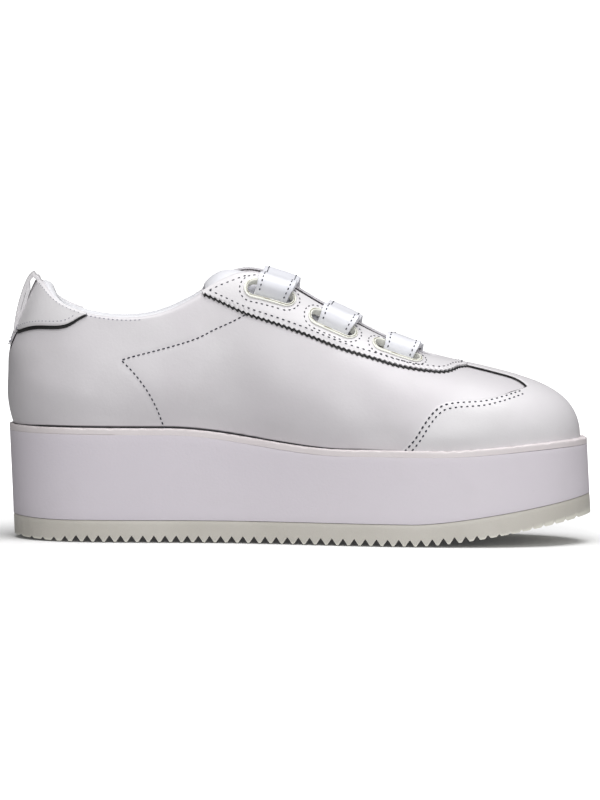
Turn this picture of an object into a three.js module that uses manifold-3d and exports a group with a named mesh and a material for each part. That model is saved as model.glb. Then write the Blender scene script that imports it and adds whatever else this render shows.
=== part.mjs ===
// A left-foot platform sneaker with three wide straps, as a maker would put it together.
// Millimetres, +Z up. x runs from the back of the heel to the toe, y from the inner side of the
// foot (negative) to the outer side, and z = 0 is the floor under the tread.
import * as THREE from 'three';
import { mergeVertices } from 'three/addons/utils/BufferGeometryUtils.js';
import Module from 'manifold-3d';

const wasm = await Module();
wasm.setup();

// Driving dimensions.
const SHOE_LENGTH = 262;
const GAP = 0.3; // between pieces that meet
const WALL = 2.2; // upper leather and lining together
const OVERLAY = 1.2; // leather sewn on top of the upper
const HEEL_STACK = 51.2; // sole height at the rim, under the heel
const FOREFOOT_STACK = 42.9;
const TOE_RIM_RISE = 4.4; // how much higher the rim is at the tip of the toe
const STACK_FALL = [70, 150]; // x between which the rim falls from heel to forefoot height
const TOE_RIM_START = 190;
const WELT_HEIGHT = 3;
const TREAD_PITCH = 5;
const TREAD_DEPTH = 3;
const TREAD_TIP = 0.9; // flat left on each tooth
const END_GROOVE = 0.9; // depth and half width of the shallow grooves at heel and toe
const GROOVES_FULL = [12, 32, 196, 226]; // x between which the grooves deepen, and where they end
const OUTSOLE_THICKNESS = 9.6;
const TOE_THINNING = 0.8; // how much thinner the outsole is at the tip of the toe
const HEEL_THINNING = 0.5;
const TOE_SPRING = 15.2;
const TOE_SPRING_START = 182;
const HEEL_BEVEL = 1.6;
const HEEL_BEVEL_END = 30;
const INSOLE_THICKNESS = 4;
const LOOP_WIDTH = 13;
const LOOP_THICKNESS = 1.8;

// How finely the faceted pieces are divided.
const UPPER_STATIONS = 60;
const UPPER_LEVELS = 11;
const PLATE_STATIONS = 40;
const PLATE_COLUMNS = 4;
const TONGUE_COLUMNS = 10;
const STADIUM_STEPS = 16;
const STRAP_STEPS = 18;
const LOOP_STEPS = 16;
const CUTTER_REACH = 160;

// One row for each section of the last, from the back of the heel to the tip of the toe. The foot
// columns give the feather line on the inner and the outer side, and the edge columns the collar
// or throat. A profile leaves the feather line `out` to the side and `rise` up, and it reaches the
// edge from a handle that lies `reach` of the way back to the feather line, `side` further out
// and `drop` lower.
const SECTIONS = [
  { name: 'heel back', footX: 2.6, innerY: 1, outerY: 1, edgeX: 12.3, innerEdge: 1, outerEdge: 1,
    innerZ: 116, outerZ: 116, out: 10, rise: 14.7, reach: 0.8, side: 0.6, drop: 16 },
  { name: 'heel turn', footX: 9, innerY: -17.5, outerY: 19.5, edgeX: 14.8, innerEdge: -9.5,
    outerEdge: 11.5, innerZ: 114.2, outerZ: 114, out: 9, rise: 15, reach: 1, side: 0.5, drop: 16 },
  { name: 'heel', footX: 27, innerY: -28.5, outerY: 31, edgeX: 23.5, innerEdge: -20.5,
    outerEdge: 22, innerZ: 106.2, outerZ: 105.5, out: 7, rise: 17, reach: 0.9, side: 1.5, drop: 17 },
  { name: 'ankle', footX: 52, innerY: -30, outerY: 32.3, edgeX: 45, innerEdge: -26.5,
    outerEdge: 27.5, innerZ: 101.2, outerZ: 99.2, out: 6, rise: 18, reach: 0.9, side: 2, drop: 18 },
  { name: 'arch', footX: 76, innerY: -28, outerY: 32.8, edgeX: 66, innerEdge: -27,
    outerEdge: 27.5, innerZ: 102.8, outerZ: 101.2, out: 5.5, rise: 18, reach: 0.9, side: 3, drop: 20 },
  { name: 'waist', footX: 97, innerY: -27.5, outerY: 34.5, edgeX: 84, innerEdge: -22,
    outerEdge: 23, innerZ: 111.3, outerZ: 110.5, out: 6, rise: 20, reach: 0.8, side: 4, drop: 22 },
  { name: 'instep', footX: 117, innerY: -29.8, outerY: 38, edgeX: 106.5, innerEdge: -15.5,
    outerEdge: 16, innerZ: 120.4, outerZ: 120.4, out: 8, rise: 26, reach: 0.6, side: 6, drop: 12 },
  { name: 'joint', footX: 142, innerY: -35, outerY: 42.3, edgeX: 132, innerEdge: -14,
    outerEdge: 14.5, innerZ: 109.6, outerZ: 109.6, out: 8, rise: 24, reach: 0.55, side: 6, drop: 11 },
  { name: 'ball', footX: 170, innerY: -40.3, outerY: 43, edgeX: 157, innerEdge: -12,
    outerEdge: 12.5, innerZ: 95.8, outerZ: 95.8, out: 6, rise: 21, reach: 0.6, side: 4, drop: 8 },
  { name: 'vamp', footX: 199, innerY: -41.3, outerY: 39.8, edgeX: 178, innerEdge: -9.5,
    outerEdge: 9.5, innerZ: 85.8, outerZ: 85.8, out: 5, rise: 18, reach: 0.62, side: 3, drop: 6 },
  { name: 'toe', footX: 226, innerY: -37, outerY: 31.5, edgeX: 187, innerEdge: -6,
    outerEdge: 6.5, innerZ: 82.6, outerZ: 82.6, out: 4, rise: 18, reach: 0.7, side: 2, drop: 7 },
  { name: 'toe turn', footX: 246.3, innerY: -25, outerY: 17.5, edgeX: 189.6, innerEdge: -3,
    outerEdge: 3.5, innerZ: 81.7, outerZ: 81.7, out: 1.8, rise: 20, reach: 0.8, side: 0, drop: 8.5 },
  { name: 'toe tip', footX: 255.2, innerY: -4, outerY: -4, edgeX: 190, innerEdge: 0,
    outerEdge: 0, innerZ: 81.5, outerZ: 81.5, out: 0.4, rise: 20, reach: 0.84, side: 0, drop: 9 },
];
const HALF = SECTIONS.length - 1; // sections from heel to toe on one side
const RING = 2 * HALF; // sections once round the shoe

// The three slots in the inner facing, and the straps that come up through them. `section` and
// `level` place the slot on the upper, `lean` is how far ahead of it the strap crosses over, and
// `crown` how far above the throat's edges.
const STRAPS = [
  { name: 'top', section: 6.31, level: 0.84, slot: 21, width: 16.8, lean: 4.5, crown: 3.3 },
  { name: 'middle', section: 7.39, level: 0.84, slot: 21.4, width: 16.5, lean: 4.5, crown: 3.4 },
  { name: 'front', section: 8.52, level: 0.835, slot: 21.4, width: 15.5, lean: 3.5, crown: 4.4 },
];
const SLOT_HALF_WIDTH = 3.4;
const RIM_WIDTH = 1.5;
const RIM_HEIGHT = 0.7;
const RIM_CLEARANCE = 0.9; // over the facing, which curves under the flat-lying rim
const STRAP_THICKNESS = 2;
const STRAP_CLEARANCE = 1.2; // over the outer facing, for the hook-and-loop between them
const FACING_TOP = GAP + OVERLAY;
// A strap's middle line as it comes up: distances across the slot from its centre, and heights.
const STRAP_RISE = [[-1, -3], [-0.8, 0], [0, 3.2], [4.2, 6]];
const STRAP_REST = [0.99, 0.92, 0.84, 0.76, 0.68]; // levels it passes over on the outer side

// Materials.
const leather = (colour) => new THREE.MeshStandardMaterial({ color: colour, roughness: 0.5, metalness: 0 });
const WHITE_LEATHER = leather(0xf0f0f2);
const LINING = new THREE.MeshStandardMaterial({ color: 0xededee, roughness: 0.85, metalness: 0 });
const FOAM = new THREE.MeshStandardMaterial({ color: 0xece8ec, roughness: 0.65, metalness: 0 });
const RUBBER = new THREE.MeshStandardMaterial({ color: 0xc9c8bc, roughness: 0.55, metalness: 0 });
const CREAM = new THREE.MeshStandardMaterial({ color: 0xf2eee4, roughness: 0.45, metalness: 0 });

const smoothstep = (low, high, x) => {
  const t = THREE.MathUtils.clamp((x - low) / (high - low), 0, 1);
  return t * t * (3 - 2 * t);
};
const lerp = THREE.MathUtils.lerp;
const span = (count, low, high) => Array.from({ length: count + 1 }, (_, i) => lerp(low, high, i / count));

// ---- Heights of the sole along the shoe -------------------------------------------------------

// Height of the tread's tips: flat on the floor from heel to ball, and lifted at both ends.
function groundLine(x) {
  const spring = Math.max(0, (x - TOE_SPRING_START) / (SHOE_LENGTH - TOE_SPRING_START));
  const bevel = Math.max(0, (HEEL_BEVEL_END - x) / HEEL_BEVEL_END);
  return TOE_SPRING * spring ** 1.5 + HEEL_BEVEL * bevel ** 2;
}

function outsoleTop(x) {
  const toe = TOE_THINNING * smoothstep(200, SHOE_LENGTH, x);
  const heel = HEEL_THINNING * (1 - smoothstep(0, 40, x));
  return groundLine(x) + OUTSOLE_THICKNESS - toe - heel;
}

function rimTop(x) {
  const fall = (HEEL_STACK - FOREFOOT_STACK) * smoothstep(...STACK_FALL, x);
  return HEEL_STACK - fall + TOE_RIM_RISE * smoothstep(TOE_RIM_START, SHOE_LENGTH, x);
}

const seat = (x) => rimTop(x) - WELT_HEIGHT; // top of the midsole

// ---- The upper's surface ----------------------------------------------------------------------

// A closed, even cubic spline through one column of the sections, once round the shoe.
function ringSpline(inner, outer) {
  const values = [];
  for (let i = 0; i < RING; i += 1) {
    values.push(i <= HALF ? inner(SECTIONS[i]) : outer(SECTIONS[RING - i]));
  }
  const controls = [...values];
  const control = (i) => controls[((i % RING) + RING) % RING];
  for (let pass = 0; pass < 60; pass += 1) {
    const misses = values.map((value, i) => value - (control(i - 1) + 4 * control(i) + control(i + 1)) / 6);
    misses.forEach((miss, i) => {
      controls[i] += miss;
    });
  }
  return (u) => {
    const i = Math.floor(u);
    const t = u - i;
    const first = (1 - t) ** 3 * control(i - 1);
    const second = (3 * t ** 3 - 6 * t ** 2 + 4) * control(i);
    const third = (-3 * t ** 3 + 3 * t ** 2 + 3 * t + 1) * control(i + 1);
    const fourth = t ** 3 * control(i + 2);
    return (first + second + third + fourth) / 6;
  };
}

const same = (column) => ringSpline((row) => row[column], (row) => row[column]);
const pair = (inner, outer) => ringSpline((row) => row[inner], (row) => row[outer]);
const ring = {
  footX: same('footX'),
  footY: pair('innerY', 'outerY'),
  edgeX: same('edgeX'),
  edgeY: pair('innerEdge', 'outerEdge'),
  edgeZ: pair('innerZ', 'outerZ'),
  out: same('out'),
  rise: same('rise'),
  reach: same('reach'),
  side: same('side'),
  drop: same('drop'),
};

// The direction square to the feather line, pointing away from the foot.
function outward(u) {
  const step = 0.01;
  const alongX = ring.footX(u + step) - ring.footX(u - step);
  const alongY = ring.footY(u + step) - ring.footY(u - step);
  return new THREE.Vector3(alongY, -alongX, 0).normalize();
}

// A point of the upper's outer surface: u counts sections round the shoe, and v goes from 0 at
// the feather line to 1 at the collar and throat.
function surface(u, v) {
  const foot = new THREE.Vector3(ring.footX(u), ring.footY(u), 0);
  foot.z = seat(foot.x) + GAP;
  const edge = new THREE.Vector3(ring.edgeX(u), ring.edgeY(u), ring.edgeZ(u));
  const away = outward(u);
  const low = foot.clone().addScaledVector(away, ring.out(u));
  low.z += ring.rise(u);
  const high = new THREE.Vector3().lerpVectors(edge, foot, ring.reach(u));
  high.addScaledVector(away, ring.side(u));
  high.z = edge.z - ring.drop(u);
  const w = 1 - v;
  return foot.multiplyScalar(w ** 3)
    .addScaledVector(low, 3 * w * w * v)
    .addScaledVector(high, 3 * w * v * v)
    .addScaledVector(edge, v ** 3);
}

function slopes(u, v) {
  const step = 0.004;
  const below = Math.max(0, v - step);
  const above = Math.min(1, v + step);
  const around = surface(u + step, v).sub(surface(u - step, v)).divideScalar(2 * step);
  const up = surface(u, above).sub(surface(u, below)).divideScalar(above - below);
  return { around, up, normal: new THREE.Vector3().crossVectors(around, up).normalize() };
}

// The surface moved out along its own normal by `height`.
function offset(u, v, height) {
  return surface(u, v).addScaledVector(slopes(u, v).normal, height);
}

// How far up a profile a height above its feather line comes.
function levelAt(u, height) {
  let low = 0;
  let high = 0.5;
  const base = surface(u, 0).z;
  for (let pass = 0; pass < 24; pass += 1) {
    const middle = (low + high) / 2;
    if (surface(u, middle).z - base < height) low = middle;
    else high = middle;
  }
  return low;
}

// The levels at which the upper and its overlays are divided, from just above the welt.
const levelsAboveWelt = (u) => span(UPPER_LEVELS, levelAt(u, WELT_HEIGHT + GAP), 1);

// A point near a centre on the upper: `along` and `across` are distances on the surface, the
// second one towards the throat, and `height` is the distance off it.
function patchPoint(centre, along, across, height) {
  const { around, up, normal } = slopes(centre.section, centre.level);
  const first = around.clone().normalize();
  const second = new THREE.Vector3().crossVectors(normal, first);
  const upFirst = up.dot(first);
  const upSecond = up.dot(second);
  const dv = across / upSecond;
  const du = (along - dv * upFirst) / around.length();
  return offset(centre.section + du, centre.level + dv, height);
}

// A point over the outer side of the upper, at a place along the shoe.
function outerPoint(x, level, height) {
  let low = RING - HALF;
  let high = RING;
  for (let pass = 0; pass < 24; pass += 1) {
    const middle = (low + high) / 2;
    if (surface(middle, level).x > x) low = middle;
    else high = middle;
  }
  return offset(low, level, height);
}

// ---- Solids -----------------------------------------------------------------------------------

function geometryFrom(points, index) {
  const loose = new THREE.BufferGeometry();
  loose.setAttribute('position', new THREE.Float32BufferAttribute(points.flatMap((p) => [p.x, p.y, p.z]), 3));
  loose.setIndex(index);
  const merged = mergeVertices(loose, 1e-3);
  const corners = merged.index.array;
  const kept = [];
  for (let i = 0; i < corners.length; i += 3) {
    const [a, b, c] = [corners[i], corners[i + 1], corners[i + 2]];
    if (a !== b && b !== c && c !== a) kept.push(a, b, c);
  }
  const at = (i) => new THREE.Vector3().fromBufferAttribute(merged.attributes.position, i);
  let volume = 0;
  for (let i = 0; i < kept.length; i += 3) {
    volume += at(kept[i]).dot(at(kept[i + 1]).cross(at(kept[i + 2])));
  }
  if (volume < 0) kept.reverse();
  merged.setIndex(kept);
  return merged;
}

// A closed body between two grids of points, top[i][j] and bottom[i][j]. With `wraps` the rows
// run round into each other.
function thickSheet(top, bottom, wraps = false) {
  const rows = top.length;
  const columns = top[0].length;
  const last = columns - 1;
  const index = [];
  const at = (side, i, j) => (side * rows + (i % rows)) * columns + j;
  const quad = (a, b, c, d) => index.push(a, b, c, a, c, d);
  for (let i = 0; i < (wraps ? rows : rows - 1); i += 1) {
    for (let j = 0; j < last; j += 1) {
      quad(at(0, i, j), at(0, i + 1, j), at(0, i + 1, j + 1), at(0, i, j + 1));
      quad(at(1, i, j), at(1, i, j + 1), at(1, i + 1, j + 1), at(1, i + 1, j));
    }
    quad(at(1, i, 0), at(1, i + 1, 0), at(0, i + 1, 0), at(0, i, 0));
    quad(at(0, i, last), at(0, i + 1, last), at(1, i + 1, last), at(1, i, last));
  }
  if (!wraps) {
    for (let j = 0; j < last; j += 1) {
      quad(at(0, 0, j), at(0, 0, j + 1), at(1, 0, j + 1), at(1, 0, j));
      quad(at(0, rows - 1, j + 1), at(0, rows - 1, j), at(1, rows - 1, j), at(1, rows - 1, j + 1));
    }
  }
  return geometryFrom([...top.flat(), ...bottom.flat()], index);
}

function solid(geometry) {
  const bare = geometry.clone();
  bare.deleteAttribute('normal');
  bare.deleteAttribute('uv');
  const merged = mergeVertices(bare, 1e-4);
  return new wasm.Manifold(new wasm.Mesh({
    numProp: 3,
    vertProperties: new Float32Array(merged.attributes.position.array),
    triVerts: new Uint32Array(merged.index.array),
  }));
}

function geometryOf(manifold) {
  const mesh = manifold.getMesh();
  const geometry = new THREE.BufferGeometry();
  geometry.setAttribute('position', new THREE.Float32BufferAttribute(mesh.vertProperties, 3));
  geometry.setIndex([...mesh.triVerts]);
  return geometry;
}

// A straight cutter through the whole shoe, from an outline in side view (x, z).
function sideCutter(points) {
  const outline = new THREE.Shape(points.map(([x, z]) => new THREE.Vector2(x, z)));
  const prism = new THREE.ExtrudeGeometry(outline, { depth: CUTTER_REACH, bevelEnabled: false });
  return solid(prism.rotateX(Math.PI / 2).translate(0, CUTTER_REACH / 2, 0));
}

// A straight cutter from an outline in top view (x, y), standing on height z.
function topCutter(points, z) {
  const outline = new THREE.Shape(points.map(([x, y]) => new THREE.Vector2(x, y)));
  const prism = new THREE.ExtrudeGeometry(outline, { depth: CUTTER_REACH, bevelEnabled: false });
  return solid(prism.translate(0, 0, z));
}

// ---- Sole -------------------------------------------------------------------------------------

// A point of an outline that runs `margin` outside the feather line.
function outlinePoint(u, margin) {
  const point = new THREE.Vector3(ring.footX(u), ring.footY(u), 0);
  return point.addScaledVector(outward(u), margin);
}

// How far the sole stands outside the feather line at its rim and at its tread.
const rimMargin = (x) => lerp(3.4, 4.5, x / SHOE_LENGTH);
const treadMargin = (x) => lerp(0.7, 6.6, x / SHOE_LENGTH);

// A row of points across the shoe between the two sides of an outline, at a height for each x.
function acrossRow(section, margin, height) {
  const inner = outlinePoint(section, margin(ring.footX(section)));
  const outer = outlinePoint(RING - section, margin(ring.footX(section)));
  return span(PLATE_COLUMNS, 0, 1).map((t) => {
    const point = inner.clone().lerp(outer, t);
    point.z = height(point.x);
    return point;
  });
}

// A plate that fills an outline, with its own outline and height on each face.
function plate(topMargin, topHeight, bottomMargin, bottomHeight) {
  const stations = span(PLATE_STATIONS, 0, HALF);
  const top = stations.map((section) => acrossRow(section, topMargin, topHeight));
  const bottom = stations.map((section) => acrossRow(section, bottomMargin, bottomHeight));
  return thickSheet(top, bottom);
}

const wallMargin = (x, z) => {
  const share = (z - groundLine(x)) / (rimTop(x) - groundLine(x));
  return lerp(treadMargin(x), rimMargin(x), share);
};

// Grooves straight across the tread, full depth under the foot and shallow at both ends.
function treadGrooves() {
  const grooves = [];
  const halfMouth = (TREAD_PITCH - TREAD_TIP) / 2;
  const [heelStart, heelFull, toeFull, toeEnd] = GROOVES_FULL;
  for (let x = TREAD_PITCH; x < SHOE_LENGTH - TREAD_PITCH / 2; x += TREAD_PITCH) {
    const full = smoothstep(heelStart, heelFull, x) * (1 - smoothstep(toeFull, toeEnd, x));
    const depth = lerp(END_GROOVE, TREAD_DEPTH, full);
    const half = lerp(END_GROOVE, halfMouth, full);
    const below = groundLine(x) - TREAD_DEPTH;
    const outline = [[x - half, below], [x + half, below], [x + half, groundLine(x + half)],
      [x, groundLine(x) + depth], [x - half, groundLine(x - half)]];
    grooves.push(sideCutter(outline));
  }
  return wasm.Manifold.union(grooves);
}

function outsole() {
  const blank = plate(
    (x) => wallMargin(x, outsoleTop(x)),
    outsoleTop,
    treadMargin,
    groundLine,
  );
  return geometryOf(solid(blank).subtract(treadGrooves()));
}

function midsole() {
  const base = (x) => outsoleTop(x) + GAP;
  return plate((x) => wallMargin(x, seat(x)), seat, (x) => wallMargin(x, base(x)), base);
}

// The strip round the top of the sole, which the upper sits inside.
function welt() {
  const stations = span(UPPER_STATIONS, 0, RING).slice(0, -1);
  const row = (u, height) => {
    const inner = offset(u, levelAt(u, height), GAP);
    const x = ring.footX(u);
    const outer = outlinePoint(u, wallMargin(x, seat(x) + GAP + height));
    inner.z = seat(inner.x) + GAP + height;
    outer.z = seat(outer.x) + GAP + height;
    return [inner, outer];
  };
  const top = stations.map((u) => row(u, WELT_HEIGHT - GAP));
  const bottom = stations.map((u) => row(u, 0));
  return thickSheet(top, bottom, true);
}

function insole() {
  const margin = () => -(WALL + 0.8);
  const top = (x) => seat(x) + GAP + INSOLE_THICKNESS;
  const bottom = (x) => seat(x) + GAP;
  return plate(margin, top, margin, bottom);
}

// ---- Upper and tongue -------------------------------------------------------------------------

const slotCentre = (strap) => ({ section: strap.section, level: strap.level });

// The points of a slot's outline, round both ends: distances along and across the slot.
function stadium(length, halfWidth) {
  const straight = length / 2 - halfWidth;
  return span(STADIUM_STEPS, 0, 2 * Math.PI).slice(0, -1).map((angle) => {
    const end = Math.cos(angle) > 0 ? straight : -straight;
    return [end + halfWidth * Math.cos(angle), halfWidth * Math.sin(angle)];
  });
}

// A body between two heights over the upper and between two outlines round a slot.
function slotBody(strap, low, high, inside, outside) {
  const centre = slotCentre(strap);
  const grid = (height) => outside.map(([along, across], i) => [
    patchPoint(centre, inside[i][0], inside[i][1], height),
    patchPoint(centre, along, across, height),
  ]);
  return thickSheet(grid(high), grid(low), true);
}

function slotCutter(strap, low, high) {
  const outside = stadium(strap.slot, SLOT_HALF_WIDTH);
  const inside = outside.map(() => [0, 0]);
  return solid(slotBody(strap, low, high, inside, outside));
}

function upper() {
  const stations = span(UPPER_STATIONS, 0, RING).slice(0, -1);
  const levels = stations.map((u) => [0, ...levelsAboveWelt(u)]);
  const outer = stations.map((u, i) => levels[i].map((v) => surface(u, v)));
  const inner = stations.map((u, i) => levels[i].map((v) => offset(u, v, -WALL)));
  inner.forEach((row, i) => {
    row[0].z = outer[i][0].z;
  });
  let body = solid(thickSheet(outer, inner, true));
  STRAPS.forEach((strap) => {
    body = body.subtract(slotCutter(strap, -2 * WALL, 2 * WALL));
  });
  return geometryOf(body);
}

// The tongue lies under the throat, from the vamp up to its padded end above the collar. One row
// for each station: its place, the height of its middle, half its width, how far its sides drop
// and how thick it is.
const TONGUE_ROWS = [
  { x: 200, z: 73.2, half: 12, fall: 4.5, thick: 1.6 },
  { x: 188, z: 78.6, half: 16, fall: 6.5, thick: 2.6 },
  { x: 172, z: 85.8, half: 20, fall: 9, thick: 4 },
  { x: 152, z: 96, half: 23, fall: 11.5, thick: 5 },
  { x: 132, z: 107.2, half: 24, fall: 12, thick: 5.5 },
  { x: 112, z: 116.6, half: 22, fall: 13, thick: 6 },
  { x: 99, z: 120.2, half: 19, fall: 12, thick: 6.5 },
  { x: 91, z: 120, half: 15.5, fall: 8.5, thick: 5.5 },
  { x: 87.5, z: 117.8, half: 12, fall: 5.5, thick: 2 },
];

function tongue() {
  const columns = span(TONGUE_COLUMNS, -1, 1);
  const top = TONGUE_ROWS.map((row) => columns.map((t) => (
    new THREE.Vector3(row.x, row.half * t, row.z - row.fall * Math.abs(t) ** 2.3)
  )));
  const bottom = TONGUE_ROWS.map((row, i) => top[i].map((point, j) => {
    const thin = 1 - 0.6 * Math.abs(columns[j]) ** 4;
    return point.clone().add(new THREE.Vector3(-0.35, 0, -1).setLength(row.thick * thin));
  }));
  return thickSheet(top, bottom);
}

// ---- Overlays ---------------------------------------------------------------------------------

// Leather of overlay thickness all over the upper, to be cut to each overlay's outline.
function overlaySkin() {
  const stations = span(UPPER_STATIONS, 0, RING).slice(0, -1);
  const grid = (height) => stations.map((u) => levelsAboveWelt(u).map((v) => offset(u, v, height)));
  return solid(thickSheet(grid(FACING_TOP), grid(GAP), true));
}

// Lower edge of the facing in side view, from the collar to its tip on the ridge of the vamp.
const FACING_EDGE = [[82.5, 113], [92.5, 108.8], [105.6, 103.2], [118.5, 99], [131.5, 94.5],
  [144.5, 89.5], [157.5, 85.2], [170.4, 81.3], [183.5, 78.4], [195, 77], [204.5, 77.6]];
// Back edge of the toe overlay in side view, from the feather line up and forward to the ridge.
const WING_EDGE = [[177, 40], [177, 44.5], [181.5, 49.4], [185.7, 55.2], [190, 60.2], [194.5, 63],
  [200, 63.8], [213, 65], [222, 66.6], [232.3, 68.7]];
// Outline in top view of the stem that runs back from the toe overlay to the facing.
const STEM_EDGE = [[204.8, -8.1], [216, -9.7], [226, -11], [230, -15.3], [232.3, -20.8], [240, -20.8],
  [240, 20.8], [232.3, 20.8], [230, 15.3], [226, 11], [216, 9.7], [204.8, 8.1]];
const ABOVE = 140; // higher than any part of the shoe
// Lower edge of the heel tab in side view, from the back of the heel to the collar.
const TAB_EDGE = [[-6, 89], [2.6, 92], [7.7, 94.9], [12.1, 96], [24.5, 97], [31.8, 100.8], [38.5, 104]];

function facing(skin) {
  const above = sideCutter([...FACING_EDGE, [204.5, ABOVE], [82.5, ABOVE]]);
  let body = skin.intersect(above);
  STRAPS.forEach((strap) => {
    body = body.subtract(slotCutter(strap, -WALL, 2 * WALL));
  });
  return geometryOf(body);
}

function toeOverlay(skin) {
  const ahead = SHOE_LENGTH + 18;
  const wings = sideCutter([...WING_EDGE, [232.6, ABOVE], [ahead, ABOVE], [ahead, 40]].reverse());
  const stem = topCutter(STEM_EDGE, 60);
  return geometryOf(skin.intersect(wings.add(stem)));
}

function heelTab(skin) {
  const above = sideCutter([...TAB_EDGE, [38.5, ABOVE], [-6, ABOVE]]);
  return geometryOf(skin.intersect(above));
}

// ---- Straps, slot rims and pull loop ------------------------------------------------------------

// A strip along a route. Each step of the route has its middle, the direction of its width, and
// half its width.
function strip(steps, thickness) {
  const faces = [[], []];
  steps.forEach((step, i) => {
    const before = steps[Math.max(0, i - 1)].middle;
    const after = steps[Math.min(steps.length - 1, i + 1)].middle;
    const run = after.clone().sub(before);
    const normal = new THREE.Vector3().crossVectors(run, step.wide).normalize();
    faces.forEach((face, side) => {
      const lift = (side === 0 ? 1 : -1) * thickness / 2;
      face.push([-1, 0, 1].map((t) => step.middle.clone()
        .addScaledVector(step.wide, t * step.half)
        .addScaledVector(normal, lift)));
    });
  });
  return thickSheet(faces[0], faces[1]);
}

// A strap comes up through its slot, crosses the tongue and lies on the outer facing, with a
// round end.
function strap(row) {
  const inner = slotCentre(row);
  const ahead = patchPoint(inner, 0, 0, 0).x + row.lean;
  const crown = outerPoint(ahead, 1, 0);
  crown.y = 0;
  crown.z += row.crown;
  const rest = FACING_TOP + STRAP_CLEARANCE + STRAP_THICKNESS / 2;
  const route = new THREE.CatmullRomCurve3([
    ...STRAP_RISE.map(([across, height]) => patchPoint(inner, 0, across, height)),
    crown,
    ...STRAP_REST.map((level) => outerPoint(crown.x, level, rest)),
  ], false, 'centripetal');
  const innerWide = slopes(inner.section, inner.level).around.normalize();
  const outerWide = slopes(RING - row.section, row.level).around.normalize().negate();
  const half = row.width / 2;
  const points = route.getSpacedPoints(STRAP_STEPS);
  const length = route.getLength();
  const steps = points.map((middle, i) => {
    const t = i / STRAP_STEPS;
    const toTip = length * (1 - t);
    const back = Math.max(0, half - toTip);
    const wide = innerWide.clone().lerp(outerWide, t).normalize();
    return { middle, wide, half: Math.max(0.35 * half, Math.sqrt(half * half - back * back)) };
  });
  return strip(steps, STRAP_THICKNESS);
}

function slotRim(row) {
  const inside = stadium(row.slot, SLOT_HALF_WIDTH);
  const outside = stadium(row.slot + 2 * RIM_WIDTH, SLOT_HALF_WIDTH + RIM_WIDTH);
  const low = FACING_TOP + RIM_CLEARANCE;
  return slotBody(row, low, low + RIM_HEIGHT, inside, outside);
}

// The pull loop is sewn on low on the heel tab, stands off it, and folds over the collar. Its
// middle line, as places along the shoe and heights:
const LOOP_ROUTE = [[0.2, 91.5], [1.1, 98], [3, 105], [5.6, 112], [8, 116.8], [10.4, 118.7], [12.8, 118.2]];

function pullLoop() {
  const middles = LOOP_ROUTE.map(([x, z]) => new THREE.Vector3(x, SECTIONS[0].innerY, z));
  const route = new THREE.CatmullRomCurve3(middles, false, 'centripetal');
  const steps = route.getSpacedPoints(LOOP_STEPS).map((middle) => (
    { middle, wide: new THREE.Vector3(0, 1, 0), half: LOOP_WIDTH / 2 }
  ));
  return strip(steps, LOOP_THICKNESS);
}

// ---- Assembly ---------------------------------------------------------------------------------

const shoe = new THREE.Group();
shoe.name = 'platform_sneaker';

function place(name, geometry, material) {
  const mesh = new THREE.Mesh(geometry, material);
  mesh.name = name;
  shoe.add(mesh);
}

const skin = overlaySkin();
place('outsole', outsole(), RUBBER);
place('midsole', midsole(), FOAM);
place('welt', welt(), CREAM);
place('insole', insole(), LINING);
place('upper', upper(), WHITE_LEATHER);
place('tongue', tongue(), LINING);
place('facing', facing(skin), WHITE_LEATHER);
place('toe_overlay', toeOverlay(skin), WHITE_LEATHER);
place('heel_tab', heelTab(skin), WHITE_LEATHER);
place('pull_loop', pullLoop(), WHITE_LEATHER);
STRAPS.forEach((row) => {
  place(`strap_${row.name}`, strap(row), WHITE_LEATHER);
  place(`slot_rim_${row.name}`, slotRim(row), CREAM);
});

const box = new THREE.Box3().setFromObject(shoe);
shoe.position.set(-(box.min.x + box.max.x) / 2, -(box.min.y + box.max.y) / 2, 0);

export default shoe;
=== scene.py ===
"""Looks of a left-foot platform sneaker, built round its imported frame.

The shoe is worked out in millimetres in its own axes: x runs from the back of the heel to the toe,
y from the inner side of the foot (negative) to the outer side, and z = 0 is the floor.
"""

import logging
import math
from dataclasses import dataclass
from enum import Enum
from typing import Callable, Optional, Sequence

import bpy
import numpy as np
from mathutils import Matrix, Vector

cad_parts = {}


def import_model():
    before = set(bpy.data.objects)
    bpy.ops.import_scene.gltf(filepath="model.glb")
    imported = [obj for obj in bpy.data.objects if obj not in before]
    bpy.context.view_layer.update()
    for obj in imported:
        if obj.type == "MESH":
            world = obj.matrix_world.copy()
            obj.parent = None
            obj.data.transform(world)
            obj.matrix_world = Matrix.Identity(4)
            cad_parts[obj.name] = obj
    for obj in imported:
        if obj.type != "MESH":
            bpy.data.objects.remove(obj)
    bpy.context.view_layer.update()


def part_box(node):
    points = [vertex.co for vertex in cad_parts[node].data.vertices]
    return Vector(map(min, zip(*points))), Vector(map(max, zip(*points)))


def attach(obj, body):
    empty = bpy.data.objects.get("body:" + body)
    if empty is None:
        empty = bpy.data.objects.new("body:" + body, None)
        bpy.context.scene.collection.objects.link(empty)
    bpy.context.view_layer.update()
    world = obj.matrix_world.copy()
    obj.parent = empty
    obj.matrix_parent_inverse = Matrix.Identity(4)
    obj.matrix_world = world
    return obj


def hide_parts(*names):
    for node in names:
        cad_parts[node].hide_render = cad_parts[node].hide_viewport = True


LOG = logging.getLogger("sneaker")
MM = 0.001
Array = np.ndarray

GAP = 0.3
WALL = 2.2
OVERLAY = 1.2
FACING_TOP = GAP + OVERLAY
SHOE_LENGTH = 262.0

TOE_SPRING = 15.2
TOE_SPRING_START = 182.0
HEEL_ROLL = 30.0
HEEL_LIFT = 1.6
OUTSOLE_HEIGHT = 9.6
TOE_THINNING = 0.8
HEEL_THINNING = 0.5
HEEL_HEIGHT = 51.2
HEEL_DROP = 8.3
TOE_RISE = 4.4
RIM_DEPTH = 3.0


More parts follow.
